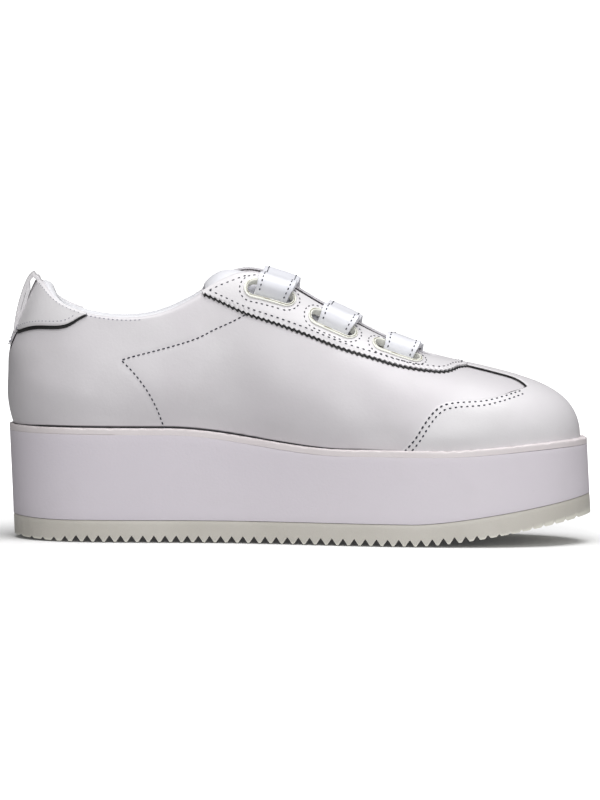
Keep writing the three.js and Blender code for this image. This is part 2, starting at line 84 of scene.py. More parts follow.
# ---- The last and the sole's heights -----------------------------------------------------------


@dataclass(frozen=True)
class Section:
    """One section of the last: its feather line, its collar or throat edge and its fullness."""

    name: str
    foot_x: float
    inner_y: float
    outer_y: float
    edge_x: float
    inner_edge: float
    outer_edge: float
    inner_z: float
    outer_z: float
    out: float
    rise: float
    reach: float
    side: float
    drop: float


SECTIONS = (
    Section("heel back", 2.6, 1, 1, 12.3, 1, 1, 116, 116, 10, 14.7, 0.8, 0.6, 16),
    Section("heel turn", 9, -17.5, 19.5, 14.8, -9.5, 11.5, 114.2, 114, 9, 15, 1, 0.5, 16),
    Section("heel", 27, -28.5, 31, 23.5, -20.5, 22, 106.2, 105.5, 7, 17, 0.9, 1.5, 17),
    Section("ankle", 52, -30, 32.3, 45, -26.5, 27.5, 101.2, 99.2, 6, 18, 0.9, 2, 18),
    Section("arch", 76, -28, 32.8, 66, -27, 27.5, 102.8, 101.2, 5.5, 18, 0.9, 3, 20),
    Section("waist", 97, -27.5, 34.5, 84, -22, 23, 111.3, 110.5, 6, 20, 0.8, 4, 22),
    Section("instep", 117, -29.8, 38, 106.5, -15.5, 16, 120.4, 120.4, 8, 26, 0.6, 6, 12),
    Section("joint", 142, -35, 42.3, 132, -14, 14.5, 109.6, 109.6, 8, 24, 0.55, 6, 11),
    Section("ball", 170, -40.3, 43, 157, -12, 12.5, 95.8, 95.8, 6, 21, 0.6, 4, 8),
    Section("vamp", 199, -41.3, 39.8, 178, -9.5, 9.5, 85.8, 85.8, 5, 18, 0.62, 3, 6),
    Section("toe", 226, -37, 31.5, 187, -6, 6.5, 82.6, 82.6, 4, 18, 0.7, 2, 7),
    Section("toe turn", 246.3, -25, 17.5, 189.6, -3, 3.5, 81.7, 81.7, 1.8, 20, 0.8, 0, 8.5),
    Section("toe tip", 255.2, -4, -4, 190, 0, 0, 81.5, 81.5, 0.4, 20, 0.84, 0, 9),
)
HALF = len(SECTIONS) - 1
RING = 2 * HALF


class Side(Enum):
    """A side of the foot."""

    INNER = "inner"
    OUTER = "outer"


class View(Enum):
    """How a line is drawn, with the two coordinates that its points give."""

    SIDE = (0, 2)
    PLAN = (0, 1)


def smoothstep(low: float, high: float, x: Array) -> Array:
    """Rises evenly from 0 at low to 1 at high."""
    t = np.clip((np.asarray(x, dtype=float) - low) / (high - low), 0, 1)
    return t * t * (3 - 2 * t)


def unit(vectors: Array) -> Array:
    """Scales vectors in the last axis to length 1."""
    return vectors / np.maximum(np.linalg.norm(vectors, axis=-1, keepdims=True), 1e-9)


def ground_line(x: Array) -> Array:
    """Height of the tread's tips along the shoe."""
    x = np.asarray(x, dtype=float)
    spring = np.maximum(0, (x - TOE_SPRING_START) / (SHOE_LENGTH - TOE_SPRING_START))
    bevel = np.maximum(0, (HEEL_ROLL - x) / HEEL_ROLL)
    return TOE_SPRING * spring**1.5 + HEEL_LIFT * bevel**2


def outsole_top(x: Array) -> Array:
    """Height of the joint between outsole and midsole."""
    toe = TOE_THINNING * smoothstep(200, SHOE_LENGTH, x)
    heel = HEEL_THINNING * (1 - smoothstep(0, 40, x))
    return ground_line(x) + OUTSOLE_HEIGHT - (toe + heel)


def rim_top(x: Array) -> Array:
    """Height of the sole's upper rim."""
    return HEEL_HEIGHT - HEEL_DROP * smoothstep(70, 150, x) + TOE_RISE * smoothstep(190, SHOE_LENGTH, x)


def seat(x: Array) -> Array:
    """Height of the midsole's top, which the upper stands on."""
    return rim_top(x) - RIM_DEPTH


def wall_margin(x: Array, z: Array) -> Array:
    """How far the sole's wall stands outside the feather line at a height."""
    share = (z - ground_line(x)) / (rim_top(x) - ground_line(x))
    along = np.asarray(x, dtype=float) / SHOE_LENGTH
    tread = 0.7 + 5.9 * along
    rim = 3.4 + 1.1 * along
    return tread + (rim - tread) * share


class Last:
    """The upper's surface: u counts sections round the shoe, v goes from feather line to edge."""

    def __init__(self) -> None:
        """Fits a closed cubic spline through each column of the sections."""
        pairs = {
            "foot_x": ("foot_x", "foot_x"),
            "foot_y": ("inner_y", "outer_y"),
            "edge_x": ("edge_x", "edge_x"),
            "edge_y": ("inner_edge", "outer_edge"),
            "edge_z": ("inner_z", "outer_z"),
        }
        for shape in ("out", "rise", "reach", "side", "drop"):
            pairs[shape] = (shape, shape)
        self.controls = {name: self._fit(*columns) for name, columns in pairs.items()}

    @staticmethod
    def _fit(inner: str, outer: str) -> Array:
        """Solves for the spline's controls so that it passes through every section."""
        values = [getattr(SECTIONS[i], inner) for i in range(HALF + 1)]
        values += [getattr(SECTIONS[RING - i], outer) for i in range(HALF + 1, RING)]
        basis = np.zeros((RING, RING))
        for i in range(RING):
            for step, weight in ((-1, 1 / 6), (0, 4 / 6), (1, 1 / 6)):
                basis[i, (i + step) % RING] = weight
        return np.linalg.solve(basis, np.array(values, dtype=float))

    def column(self, name: str, u: Array) -> Array:
        """The value of one column at places round the shoe.

        Args:
            name: the column.
            u: places round the shoe, counted in sections.

        Returns:
            The column's value at each place.
        """
        u = np.asarray(u, dtype=float)
        i = np.floor(u).astype(int)
        t = u - i
        c = self.controls[name]
        first = (1 - t) ** 3 * c[(i - 1) % RING]
        second = (3 * t**3 - 6 * t**2 + 4) * c[i % RING]
        third = (-3 * t**3 + 3 * t**2 + 3 * t + 1) * c[(i + 1) % RING]
        return (first + second + third + t**3 * c[(i + 2) % RING]) / 6

    def outward(self, u: Array) -> Array:
        """Unit vectors square to the feather line, pointing away from the foot."""
        step = 0.01
        dx = self.column("foot_x", u + step) - self.column("foot_x", u - step)
        dy = self.column("foot_y", u + step) - self.column("foot_y", u - step)
        return unit(np.stack([dy, -dx, np.zeros_like(dx)], axis=-1))

    def surface(self, u: Array, v: Array) -> Array:
        """Points of the upper's outer surface.

        Args:
            u: places round the shoe, counted in sections.
            v: how far up the profile, from 0 at the feather line to 1.

        Returns:
            The points.
        """
        u, v = np.broadcast_arrays(np.asarray(u, dtype=float), np.asarray(v, dtype=float))
        x, y = self.column("foot_x", u), self.column("foot_y", u)
        foot = np.stack([x, y, seat(x) + GAP], axis=-1)
        edge = np.stack([self.column(n, u) for n in ("edge_x", "edge_y", "edge_z")], axis=-1)
        away = self.outward(u)
        low = foot + away * self.column("out", u)[..., None]
        low[..., 2] += self.column("rise", u)
        high = edge + (foot - edge) * self.column("reach", u)[..., None]
        high += away * self.column("side", u)[..., None]
        high[..., 2] = edge[..., 2] - self.column("drop", u)
        w, v = (1 - v)[..., None], v[..., None]
        return w**3 * foot + 3 * w * w * v * low + 3 * w * v * v * high + v**3 * edge

    def slopes(self, u: Array, v: Array) -> tuple[Array, Array, Array]:
        """The surface's slopes round the shoe and up the profile, and its outward normal.

        Args:
            u: places round the shoe, counted in sections.
            v: how far up the profile they lie.

        Returns:
            The slope round the shoe, the slope up the profile and the unit normal.
        """
        step = 0.004
        u, v = np.broadcast_arrays(np.asarray(u, dtype=float), np.asarray(v, dtype=float))
        below, above = np.maximum(0, v - step), np.minimum(1, v + step)
        around = (self.surface(u + step, v) - self.surface(u - step, v)) / (2 * step)
        rise = self.surface(u, above) - self.surface(u, below)
        up = rise / np.maximum(above - below, 1e-6)[..., None]
        return around, up, unit(np.cross(around, up))

    def offset(self, u: Array, v: Array, height: Array) -> Array:
        """The surface moved out along its normal."""
        lift = np.asarray(height, dtype=float)
        return self.surface(u, v) + self.slopes(u, v)[2] * lift[..., None]

    def level_at(self, u: Array, height: float) -> Array:
        """How far up each profile a height above its feather line comes.

        Args:
            u: places round the shoe, counted in sections.
            height: the height, in millimetres.

        Returns:
            The v of each place.
        """
        u = np.asarray(u, dtype=float)
        low, high = np.zeros_like(u), np.full_like(u, 0.5)
        base = self.surface(u, low)[..., 2]
        for _ in range(24):
            middle = (low + high) / 2
            under = self.surface(u, middle)[..., 2] - base < height
            low, high = np.where(under, middle, low), np.where(under, high, middle)
        return low

    def patch(self, centre: tuple[float, float], along: Array, across: Array) -> tuple[Array, Array]:
        """The u and v of places given as distances on the surface from a centre.

        Args:
            centre: u and v of the centre.
            along: distances round the shoe, in millimetres.
            across: distances square to that, towards the throat.

        Returns:
            The u and the v of each place.
        """
        around, _, normal = self.slopes(np.array(centre[0]), np.array(centre[1]))
        axes = np.stack([unit(around), np.cross(normal, unit(around))], axis=-1)
        origin = self.surface(np.array(centre[0]), np.array(centre[1]))
        along, across = np.broadcast_arrays(np.asarray(along, dtype=float), np.asarray(across, dtype=float))
        targets = np.stack([along, across], axis=-1)
        u, v = np.full(along.shape, centre[0]), np.full(along.shape, centre[1])
        for _ in range(8):
            around, up, _ = self.slopes(u, v)
            miss = targets - (self.surface(u, v) - origin) @ axes
            a, b = around @ axes, up @ axes
            det = a[..., 0] * b[..., 1] - a[..., 1] * b[..., 0]
            u = u + (miss[..., 0] * b[..., 1] - miss[..., 1] * b[..., 0]) / det
            v = np.minimum(v + (a[..., 0] * miss[..., 1] - a[..., 1] * miss[..., 0]) / det, 1.0)
        return u, v

    def beside(self, line: Array, distance: Array) -> Array:
        """Moves a line of u and v sideways over the surface, to the left of its run.

        Args:
            line: rows of u and v.
            distance: how far each of them moves, in millimetres.

        Returns:
            The moved rows of u and v.
        """
        places = self.surface(line[:, 0], line[:, 1])
        around, up, normal = self.slopes(line[:, 0], line[:, 1])
        side = unit(np.cross(normal, unit(np.gradient(places, axis=0))))
        side = side * np.broadcast_to(np.asarray(distance, dtype=float), len(line))[:, None]
        a, b, c = (around**2).sum(-1), (around * up).sum(-1), (up**2).sum(-1)
        p, q = (side * around).sum(-1), (side * up).sum(-1)
        det = a * c - b * b
        return line + np.stack([(p * c - q * b) / det, (q * a - p * b) / det], axis=-1)

    def find(self, targets: Array, view: View, side: Side) -> Array:
        """Finds the u and v on one side of the shoe of points given by two of their coordinates.

        Args:
            targets: rows of two coordinates, in millimetres.
            view: the view that they are drawn in.
            side: the side of the shoe that they lie on.

        Returns:
            Rows of u and v.
        """
        axes = view.value
        first, last = (HALF, RING) if side is Side.OUTER else (0, HALF)
        us, vs = np.meshgrid(np.linspace(first, last, 161)[1:-1], np.linspace(0.02, 1, 60), indexing="ij")
        known = self.surface(us, vs)[..., axes].reshape(-1, 2)
        guess = [np.argmin(((known - target) ** 2).sum(axis=1)) for target in targets]
        u, v = us.reshape(-1)[guess], vs.reshape(-1)[guess]
        for _ in range(14):
            around, up, _ = self.slopes(u, v)
            miss = targets - self.surface(u, v)[..., axes]
            a, b = around[..., axes], up[..., axes]
            det = a[:, 0] * b[:, 1] - a[:, 1] * b[:, 0]
            det = np.where(np.abs(det) < 1e-6, 1e-6, det)
            du = (miss[:, 0] * b[:, 1] - miss[:, 1] * b[:, 0]) / det
            dv = (a[:, 0] * miss[:, 1] - a[:, 1] * miss[:, 0]) / det
            u = np.clip(u + np.clip(du, -0.3, 0.3), first, last)
            v = np.clip(v + np.clip(dv, -0.1, 0.1), 0, 1)
        return np.stack([u, v], axis=-1)

    def outline(self, u: Array, margin: Array) -> Array:
        """Points in plan that run a margin outside the feather line."""
        x, y = self.column("foot_x", u), self.column("foot_y", u)
        foot = np.stack([x, y, np.zeros_like(x)], axis=-1)
        return foot + self.outward(u) * np.asarray(margin)[..., None]


LAST = Last()


def smooth_path(points: Sequence[Sequence[float]], count: int) -> Array:
    """Draws an even curve through a few points.

    Args:
        points: the points, in any number of dimensions.
        count: how many points to return.

    Returns:
        Points evenly spaced along a Catmull-Rom curve.
    """
    p = np.asarray(points, dtype=float)
    p = np.vstack([2 * p[0] - p[1], p, 2 * p[-1] - p[-2]])
    t = np.linspace(0, 1, 24, endpoint=False)[:, None]
    runs = []
    for i in range(1, len(p) - 2):
        a, b, c, d = p[i - 1], p[i], p[i + 1], p[i + 2]
        knots = [max(float(np.linalg.norm(q - r)) ** 0.5, 1e-6) for q, r in ((b, a), (c, b), (d, c))]
        m1 = (b - a) / knots[0] - (c - a) / (knots[0] + knots[1]) + (c - b) / knots[1]
        m2 = (c - b) / knots[1] - (d - b) / (knots[1] + knots[2]) + (d - c) / knots[2]
        m1, m2 = m1 * knots[1], m2 * knots[1]
        runs.append((2 * t**3 - 3 * t**2 + 1) * b + (t**3 - 2 * t**2 + t) * m1
                    + (-2 * t**3 + 3 * t**2) * c + (t**3 - t**2) * m2)
    return resample(np.vstack([*runs, p[-2:-1]]), count)


def distances(path: Array) -> Array:
    """How far along a path each of its points lies."""
    return np.concatenate([[0], np.cumsum(np.linalg.norm(np.diff(path, axis=0), axis=1))])


def resample(path: Array, count: int) -> Array:
    """Spaces points evenly along a path."""
    lengths = distances(path)
    even = np.linspace(0, lengths[-1], count)
    return np.stack([np.interp(even, lengths, path[:, k]) for k in range(path.shape[1])], axis=-1)


# ---- Mesh work ---------------------------------------------------------------------------------


class Bench:
    """Modelling steps on Blender's own operators, with places given in the shoe's millimetres."""

    shift = np.zeros(3)

    @classmethod
    def settle(cls) -> None:
        """Finds where the shoe's own origin lies in the frame, from the insole's box."""
        low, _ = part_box("insole")
        u = np.linspace(0, RING, 961)
        own = LAST.outline(u, np.full_like(u, -(WALL + 0.8)))
        base = seat(LAST.column("foot_x", u))
        mine = np.array([own[:, 0].min(), own[:, 1].min(), base.min() + GAP])
        cls.shift = np.array([low[0], low[1], 0]) / MM - np.array([mine[0], mine[1], 0])

    @classmethod
    def to_frame(cls, points: Array) -> Array:
        """Turns shoe millimetres into frame metres."""
        return (np.asarray(points, dtype=float) + cls.shift) * MM

    @staticmethod
    def clear() -> None:
        """Leaves edit mode and deselects everything."""
        if bpy.context.object and bpy.context.object.mode != "OBJECT":
            bpy.ops.object.mode_set(mode="OBJECT")
        bpy.ops.object.select_all(action="DESELECT")

    @staticmethod
    def rename(name: str) -> bpy.types.Object:
        """Names the object that an operator has just added."""
        obj = bpy.context.object
        obj.name = name
        obj.data.name = name
        return obj

    @staticmethod
    def read(items: bpy.types.bpy_prop_collection, key: str = "co") -> Array:
        """Reads a vector of every vertex or face, as rows of three."""
        flat = np.empty(len(items) * 3, dtype=np.float32)
        items.foreach_get(key, flat)
        return flat.reshape(-1, 3)

    @classmethod
    def places(cls, obj: bpy.types.Object) -> Array:
        """The vertices' places in shoe millimetres."""
        return cls.read(obj.data.vertices).astype(float) / MM - cls.shift

    @classmethod
    def _write(cls, obj: bpy.types.Object, points: Array) -> None:
        """Moves an object's vertices to shoe places."""
        obj.data.vertices.foreach_set("co", cls.to_frame(points).astype(np.float32).ravel())
        obj.data.update()

    @classmethod
    def grid(cls, name: str, points: Array, merge: bool = True) -> bpy.types.Object:
        """Adds a grid and lays it over a sheet of points.

        Args:
            name: the new object's name.
            points: places, rows by columns by three.
            merge: whether places that coincide are joined.

        Returns:
            The new object.
        """
        rows, columns = points.shape[:2]
        cls.clear()
        bpy.ops.mesh.primitive_grid_add(
            x_subdivisions=columns - 1, y_subdivisions=rows - 1, size=1, location=(0, 0, 0)
        )
        obj = cls.rename(name)
        flat = cls.read(obj.data.vertices)
        j = np.rint((flat[:, 0] + 0.5) * (columns - 1)).astype(int)
        i = np.rint((flat[:, 1] + 0.5) * (rows - 1)).astype(int)
        cls._write(obj, points[i, j])
        if merge:
            cls.merge(obj)
        return obj

    @classmethod
    def ring(cls, name: str, points: Array) -> bpy.types.Object:
        """Adds a torus and lays it over rings of points, closed both ways.

        Args:
            name: the new object's name.
            points: places, rings by their points by three.

        Returns:
            The new object.
        """
        rows, columns = points.shape[:2]
        cls.clear()
        bpy.ops.mesh.primitive_torus_add(
            major_segments=rows, minor_segments=columns, major_radius=1, minor_radius=0.25
        )
        obj = cls.rename(name)
        flat = cls.read(obj.data.vertices).astype(float)
        turn = np.arctan2(flat[:, 1], flat[:, 0]) / (2 * math.pi)
        tube = np.arctan2(flat[:, 2], np.hypot(flat[:, 0], flat[:, 1]) - 1) / (2 * math.pi)
        i = np.rint(turn * rows).astype(int) % rows
        j = np.rint(tube * columns).astype(int) % columns
        cls._write(obj, points[i, j])
        cls.recalculate(obj)
        return obj

    @classmethod
    def select(cls, obj: bpy.types.Object) -> None:
        """Makes one object the selected and active one."""
        cls.clear()
        obj.select_set(True)
        bpy.context.view_layer.objects.active = obj

    @classmethod
    def edit(cls, obj: bpy.types.Object, *steps: Callable[[], object]) -> None:
        """Runs operators in edit mode on the whole of a mesh."""
        cls.select(obj)
        bpy.ops.object.mode_set(mode="EDIT")
        bpy.ops.mesh.select_all(action="SELECT")
        for step in steps:
            step()
        bpy.ops.object.mode_set(mode="OBJECT")

    @classmethod
    def merge(cls, obj: bpy.types.Object, distance: float = 2e-6) -> None:
        """Joins vertices that coincide."""
        cls.edit(obj, lambda: bpy.ops.mesh.remove_doubles(threshold=distance))

    @classmethod
    def recalculate(cls, obj: bpy.types.Object) -> None:
        """Turns a closed mesh's faces outwards."""
        cls.edit(obj, lambda: bpy.ops.mesh.normals_make_consistent(inside=False))

    @classmethod
    def face_along(cls, obj: bpy.types.Object, direction: Array) -> None:
        """Flips an open sheet whose faces look against a direction on the whole."""
        normals = cls.read(obj.data.polygons, "normal")
        if normals.mean(axis=0) @ np.asarray(direction) < 0:
            cls.edit(obj, bpy.ops.mesh.flip_normals)

    @classmethod
    def fill_to(cls, obj: bpy.types.Object, far: Callable[[Array], Array]) -> None:
        """Extrudes a whole sheet into a closed body, and moves the new side by a rule.

        Args:
            obj: the sheet.
            far: takes the sheet's places in shoe millimetres and returns the new ones.
        """
        cls.edit(obj, lambda: bpy.ops.mesh.extrude_region_move(
            TRANSFORM_OT_translate={"value": (0, 0, 0)}))
        places = cls.places(obj)
        chosen = np.empty(len(places), dtype=bool)
        obj.data.vertices.foreach_get("select", chosen)
        places[chosen] = far(places[chosen])
        cls._write(obj, places)
        cls.merge(obj)
        cls.recalculate(obj)

    @classmethod
    def modify(cls, obj: bpy.types.Object, kind: str, **values: object) -> None:
        """Adds a modifier with its values and applies it.

        Args:
            obj: the piece.
            kind: the modifier's type.
            values: its settings.
        """
        cls.select(obj)
        modifier = obj.modifiers.new(kind.title(), kind)
        for key, value in values.items():
            setattr(modifier, key, value)
        bpy.ops.object.modifier_apply(modifier=modifier.name)

    @classmethod
    def thicken(cls, obj: bpy.types.Object, thickness: float, offset: float = -1.0) -> None:
        """Gives a sheet its thickness, in millimetres."""
        cls.modify(obj, "SOLIDIFY", thickness=thickness * MM, offset=offset, use_even_offset=False)

    @classmethod
    def round_edges(cls, obj: bpy.types.Object, width: float, angle: float = 50, segments: int = 2) -> None:
        """Bevels the edges that turn more than an angle, in degrees."""
        cls.modify(obj, "BEVEL", width=width * MM, segments=segments, limit_method="ANGLE",
                   angle_limit=math.radians(angle), use_clamp_overlap=True)

    @classmethod
    def smooth(cls, obj: bpy.types.Object, angle: float = 40) -> None:
        """Shades a mesh smooth, with edges kept where it turns more than an angle."""
        cls.select(obj)
        bpy.ops.object.shade_smooth_by_angle(angle=math.radians(angle))

    @classmethod
    def cut_away(cls, obj: bpy.types.Object, inside: Callable[[Array], Array]) -> None:
        """Deletes the faces whose centres a rule picks, given in shoe millimetres.

        Args:
            obj: the piece.
            inside: picks places to cut, in shoe millimetres.
        """
        cls.select(obj)
        centres = cls.read(obj.data.polygons, "center")
        picked = inside(centres.astype(float) / MM - cls.shift)
        bpy.ops.object.mode_set(mode="EDIT")
        bpy.ops.mesh.select_mode(type="FACE")
        bpy.ops.mesh.select_all(action="DESELECT")
        bpy.ops.object.mode_set(mode="OBJECT")
        obj.data.polygons.foreach_set("select", picked)
        bpy.ops.object.mode_set(mode="EDIT")
        bpy.ops.mesh.delete(type="FACE")
        bpy.ops.mesh.select_mode(type="VERT")
        bpy.ops.object.mode_set(mode="OBJECT")


def keep(obj: bpy.types.Object, finish: "Finish", slot: str, *nodes: str) -> bpy.types.Object:
    """Dresses a finished piece, puts it on the shoe's body and logs it.

    Args:
        obj: the piece.
        finish: its material.
        slot: not used.
        nodes: the frame's nodes that it stands for.

    Returns:
        The piece.
    """
    obj.data.materials.clear()
    obj.data.materials.append(finish.material())
    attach(obj, "root")
    if nodes:
        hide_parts(*nodes)
    LOG.info("%s: %d faces", obj.name, len(obj.data.polygons))
    return obj


# ---- Finishes ----------------------------------------------------------------------------------

Colour = tuple[float, float, float]
Values = dict[str, object]


def srgb(red: float, green: float, blue: float) -> Colour:
    """Turns a display colour of 0 to 255 into linear light."""
    parts = [value / 255 for value in (red, green, blue)]
    red, green, blue = (p / 12.92 if p <= 0.04045 else ((p + 0.055) / 1.055) ** 2.4 for p in parts)
    return (red, green, blue)


class Nodes:
    """Adds and joins nodes in one tree."""

    def __init__(self, tree: bpy.types.NodeTree) -> None:
        """Keeps the tree that the nodes go into."""
        self.tree = tree

    def add(self, kind: str, inputs: Optional[Values] = None, **settings: object) -> bpy.types.Node:
        """Adds a node.

        Args:
            kind: the node's type, without its ShaderNode prefix.
            inputs: values or sockets for its inputs, by name or number.
            settings: its other properties.

        Returns:
            The new node.
        """
        node = self.tree.nodes.new("ShaderNode" + kind)
        for key, value in settings.items():
            setattr(node, key, value)
        for key, value in (inputs or {}).items():
            self.feed(node.inputs[key], value)
        return node

    def feed(self, socket: bpy.types.NodeSocket, value: object) -> None:
        """Gives an input a value, or joins a socket to it."""
        if isinstance(value, bpy.types.NodeSocket):
            self.tree.links.new(value, socket)
        else:
            socket.default_value = value

    def effect(self, effect: "Effect", **inputs: object) -> bpy.types.NodeSocket:
        """Places a shared effect and returns its output.

        Args:
            effect: the shared effect.
            inputs: values or sockets by its inputs' names.

        Returns:
            The output's socket.
        """
        node = self.tree.nodes.new("ShaderNodeGroup")
        node.node_tree = effect.tree()
        for key, value in inputs.items():
            self.feed(node.inputs[key], value)
        return node.outputs[effect.output]

    def math(self, operation: str, *values: object) -> bpy.types.NodeSocket:
        """Adds a Math node."""
        return self.add("Math", dict(enumerate(values)), operation=operation).outputs[0]

    def blend(self, share: object, first: object, second: object) -> bpy.types.NodeSocket:
        """Mixes two colours.

        Args:
            share: how much of the second, as a number or a socket.
            first: a colour or a socket.
            second: a colour or a socket.

        Returns:
            The mixed colour's socket.
        """
        node = self.add("Mix", data_type="RGBA", clamp_factor=True)
        self.feed(node.inputs["Factor"], share)
        for name, colour in (("A", first), ("B", second)):
            socket = [s for s in node.inputs if s.name == name and s.type == "RGBA"][0]
            self.feed(socket, (*colour, 1) if isinstance(colour, tuple) else colour)
        return [s for s in node.outputs if s.type == "RGBA"][0]

    def span(self, value: object, low: float, high: float, to_low: float, to_high: float) -> object:
        """Maps one range onto another, evenly and held at its ends."""
        values = {"Value": value, "From Min": low, "From Max": high, "To Min": to_low, "To Max": to_high}
        return self.add("MapRange", values, clamp=True).outputs[0]


@dataclass(frozen=True)
class Effect:
    """A look that several finishes share, as a group of nodes with named sockets."""

    name: str
    inputs: tuple[tuple[str, str, object], ...]
    output: str
    fill: Callable[[Nodes, bpy.types.Node], bpy.types.NodeSocket]

    def tree(self) -> bpy.types.NodeTree:
        """The effect's node group, made the first time it is asked for."""
        made = bpy.data.node_groups.get(self.name)
        if made:
            return made
        made = bpy.data.node_groups.new(self.name, "ShaderNodeTree")
        for name, kind, value in self.inputs:
            socket = made.interface.new_socket(name, in_out="INPUT", socket_type="NodeSocket" + kind)
            if value is not None:
                socket.default_value = value
        made.interface.new_socket(self.output, in_out="OUTPUT", socket_type="NodeSocketFloat")
        nodes = Nodes(made)
        start = made.nodes.new("NodeGroupInput")
        end = made.nodes.new("NodeGroupOutput")
        made.links.new(self.fill(nodes, start), end.inputs[self.output])
        return made


def _grain(nodes: Nodes, start: bpy.types.Node) -> bpy.types.NodeSocket:
    """Pebbles between fine furrows, as on milled leather, with soft uneven swells under them."""
    place, scale = start.outputs["Vector"], start.outputs["Scale"]
    fine = nodes.math("MULTIPLY", scale, 2.7)
    wide = nodes.math("MULTIPLY", scale, 0.14)
    pebble = nodes.add("TexVoronoi", {"Vector": place, "Scale": scale}, feature="SMOOTH_F1")
    dust = nodes.add("TexNoise", {"Vector": place, "Scale": fine, "Detail": 2.0})
    swell = nodes.add("TexNoise", {"Vector": place, "Scale": wide, "Detail": 1.0})
    low = nodes.math("MULTIPLY", pebble.outputs["Distance"], -0.7)
    mixed = nodes.math("MULTIPLY_ADD", dust.outputs[0], 0.4, low)
    return nodes.math("MULTIPLY_ADD", swell.outputs[0], 1.6, mixed)


def _tone(nodes: Nodes, start: bpy.types.Node) -> bpy.types.NodeSocket:
    """Clouds between 0 and 1, for uneven colour and gloss."""
    cloud = nodes.add(
        "TexNoise",
        {"Vector": start.outputs["Vector"], "Scale": start.outputs["Scale"], "Detail": 4.0,
         "Roughness": 0.55},
    )
    return nodes.span(cloud.outputs[0], 0.32, 0.68, 0.0, 1.0)


def _soil(nodes: Nodes, start: bpy.types.Node) -> bpy.types.NodeSocket:
    """Sparse smudges and specks of handling dirt."""
    place = start.outputs["Vector"]
    smudge = nodes.add("TexNoise", {"Vector": place, "Scale": 38.0, "Detail": 3.0})
    speck = nodes.add("TexNoise", {"Vector": place, "Scale": 700.0, "Detail": 2.0})
    wide = nodes.span(smudge.outputs[0], 0.55, 0.78, 0.0, 1.0)
    small = nodes.span(speck.outputs[0], 0.66, 0.74, 0.0, 0.6)
    return nodes.math("MULTIPLY", nodes.math("MAXIMUM", wide, small), start.outputs["Amount"])


def _weave(nodes: Nodes, start: bpy.types.Node) -> bpy.types.NodeSocket:
    """Threads over and under each other, slightly uneven."""
    place, scale = start.outputs["Vector"], start.outputs["Scale"]
    values = {"Vector": place, "Scale": scale, "Distortion": 0.4}
    first = nodes.add("TexWave", values, bands_direction="X")
    second = nodes.add("TexWave", values, bands_direction="Z")
    return nodes.math("MULTIPLY", first.outputs["Fac"], second.outputs["Fac"])


PLACE = ("Vector", "Vector", None)
GRAIN = Effect("leather grain", (PLACE, ("Scale", "Float", 900.0)), "Height", _grain)
TONE = Effect("uneven tone", (PLACE, ("Scale", "Float", 20.0)), "Mask", _tone)
SOIL = Effect("handling dirt", (PLACE, ("Amount", "Float", 0.5)), "Mask", _soil)
WEAVE = Effect("plain weave", (PLACE, ("Scale", "Float", 500.0)), "Height", _weave)


@dataclass(frozen=True)
class Finish:
    """A finish: two close colours in soft clouds, smudges, uneven gloss and a fine relief.

    The relief comes from one shared effect. Where a piece has the attribute that `line` names,
    that attribute mixes `line_colour` in.
    """

    name: str
    light: Colour
    dark: Colour
    roughness: float
    effect: Effect = GRAIN
    scale: float = 900.0
    depth: float = 0.05
    tone_scale: float = 22.0
    dirt: float = 0.08
    dirt_colour: Colour = srgb(150, 146, 140)
    spread: float = 0.07
    coat: float = 0.0
    sheen: float = 0.0
    line: str = ""
    # The default dark line colour is the white leather's painted shade along the welt.
    line_colour: Colour = srgb(40, 40, 44)

    def material(self) -> bpy.types.Material:
        """The finish's material, made the first time it is asked for."""
        made = bpy.data.materials.get(self.name)
        if made:
            return made
        made = bpy.data.materials.new(self.name)
        made.use_nodes = True
        nodes = Nodes(made.node_tree)
        shader = made.node_tree.nodes["Principled BSDF"]
        place = nodes.add("TexCoord").outputs["Object"]
        tone = nodes.effect(TONE, Vector=place, Scale=self.tone_scale)
        colour = nodes.blend(tone, self.dark, self.light)
        soil = nodes.effect(SOIL, Vector=place, Amount=self.dirt)
        colour = nodes.blend(soil, colour, self.dirt_colour)
        if self.line:
            mark = nodes.add("Attribute", attribute_name=self.line).outputs["Fac"]
            colour = nodes.blend(mark, colour, self.line_colour)
        nodes.feed(shader.inputs["Base Color"], colour)
        gloss = nodes.span(tone, 0, 1, self.roughness + self.spread, self.roughness - self.spread)
        nodes.feed(shader.inputs["Roughness"], gloss)
        height = nodes.effect(self.effect, Vector=place, Scale=self.scale)
        bump = nodes.add("Bump", {"Height": height, "Strength": 0.8, "Distance": self.depth * MM})
        nodes.feed(shader.inputs["Normal"], bump.outputs[0])
        shader.inputs["Coat Weight"].default_value = self.coat
        shader.inputs["Coat Roughness"].default_value = 0.35
        shader.inputs["Sheen Weight"].default_value = self.sheen
        return made


# The white leather's line attribute paints shade: a dark line along its foot where it tucks in over the welt,
# fading out towards the toe.
LEATHER = Finish("white leather", srgb(212, 209, 212), srgb(206, 202, 206), 0.42, depth=0.06, coat=0.08,
                 line="crevice_shade")
OVERLAY_LEATHER = Finish("overlay leather", srgb(221, 219, 221), srgb(215, 212, 215), 0.4, depth=0.05,
                         coat=0.08)
STRAP_LEATHER = Finish("strap leather", srgb(234, 234, 239), srgb(222, 223, 230), 0.4, scale=1100.0,
                       depth=0.05, coat=0.1)
LINING = Finish("knitted lining", srgb(232, 232, 235), srgb(214, 214, 219), 0.85, WEAVE, 620.0, 0.12,
                sheen=0.3)
PADDING = Finish("padded tongue leather", srgb(234, 234, 238), srgb(224, 224, 230), 0.5, scale=800.0,
                 depth=0.08)
FOAM = Finish("moulded foam", srgb(222, 216, 223), srgb(216, 210, 218), 0.62, TONE, 900.0, 0.04,
              tone_scale=9.0, dirt=0.06)
RUBBER = Finish("gum rubber", srgb(206, 202, 194), srgb(198, 194, 185), 0.5, TONE, 1500.0, 0.05,
                tone_scale=30.0, dirt=0.12, line="tip", line_colour=srgb(240, 238, 226))
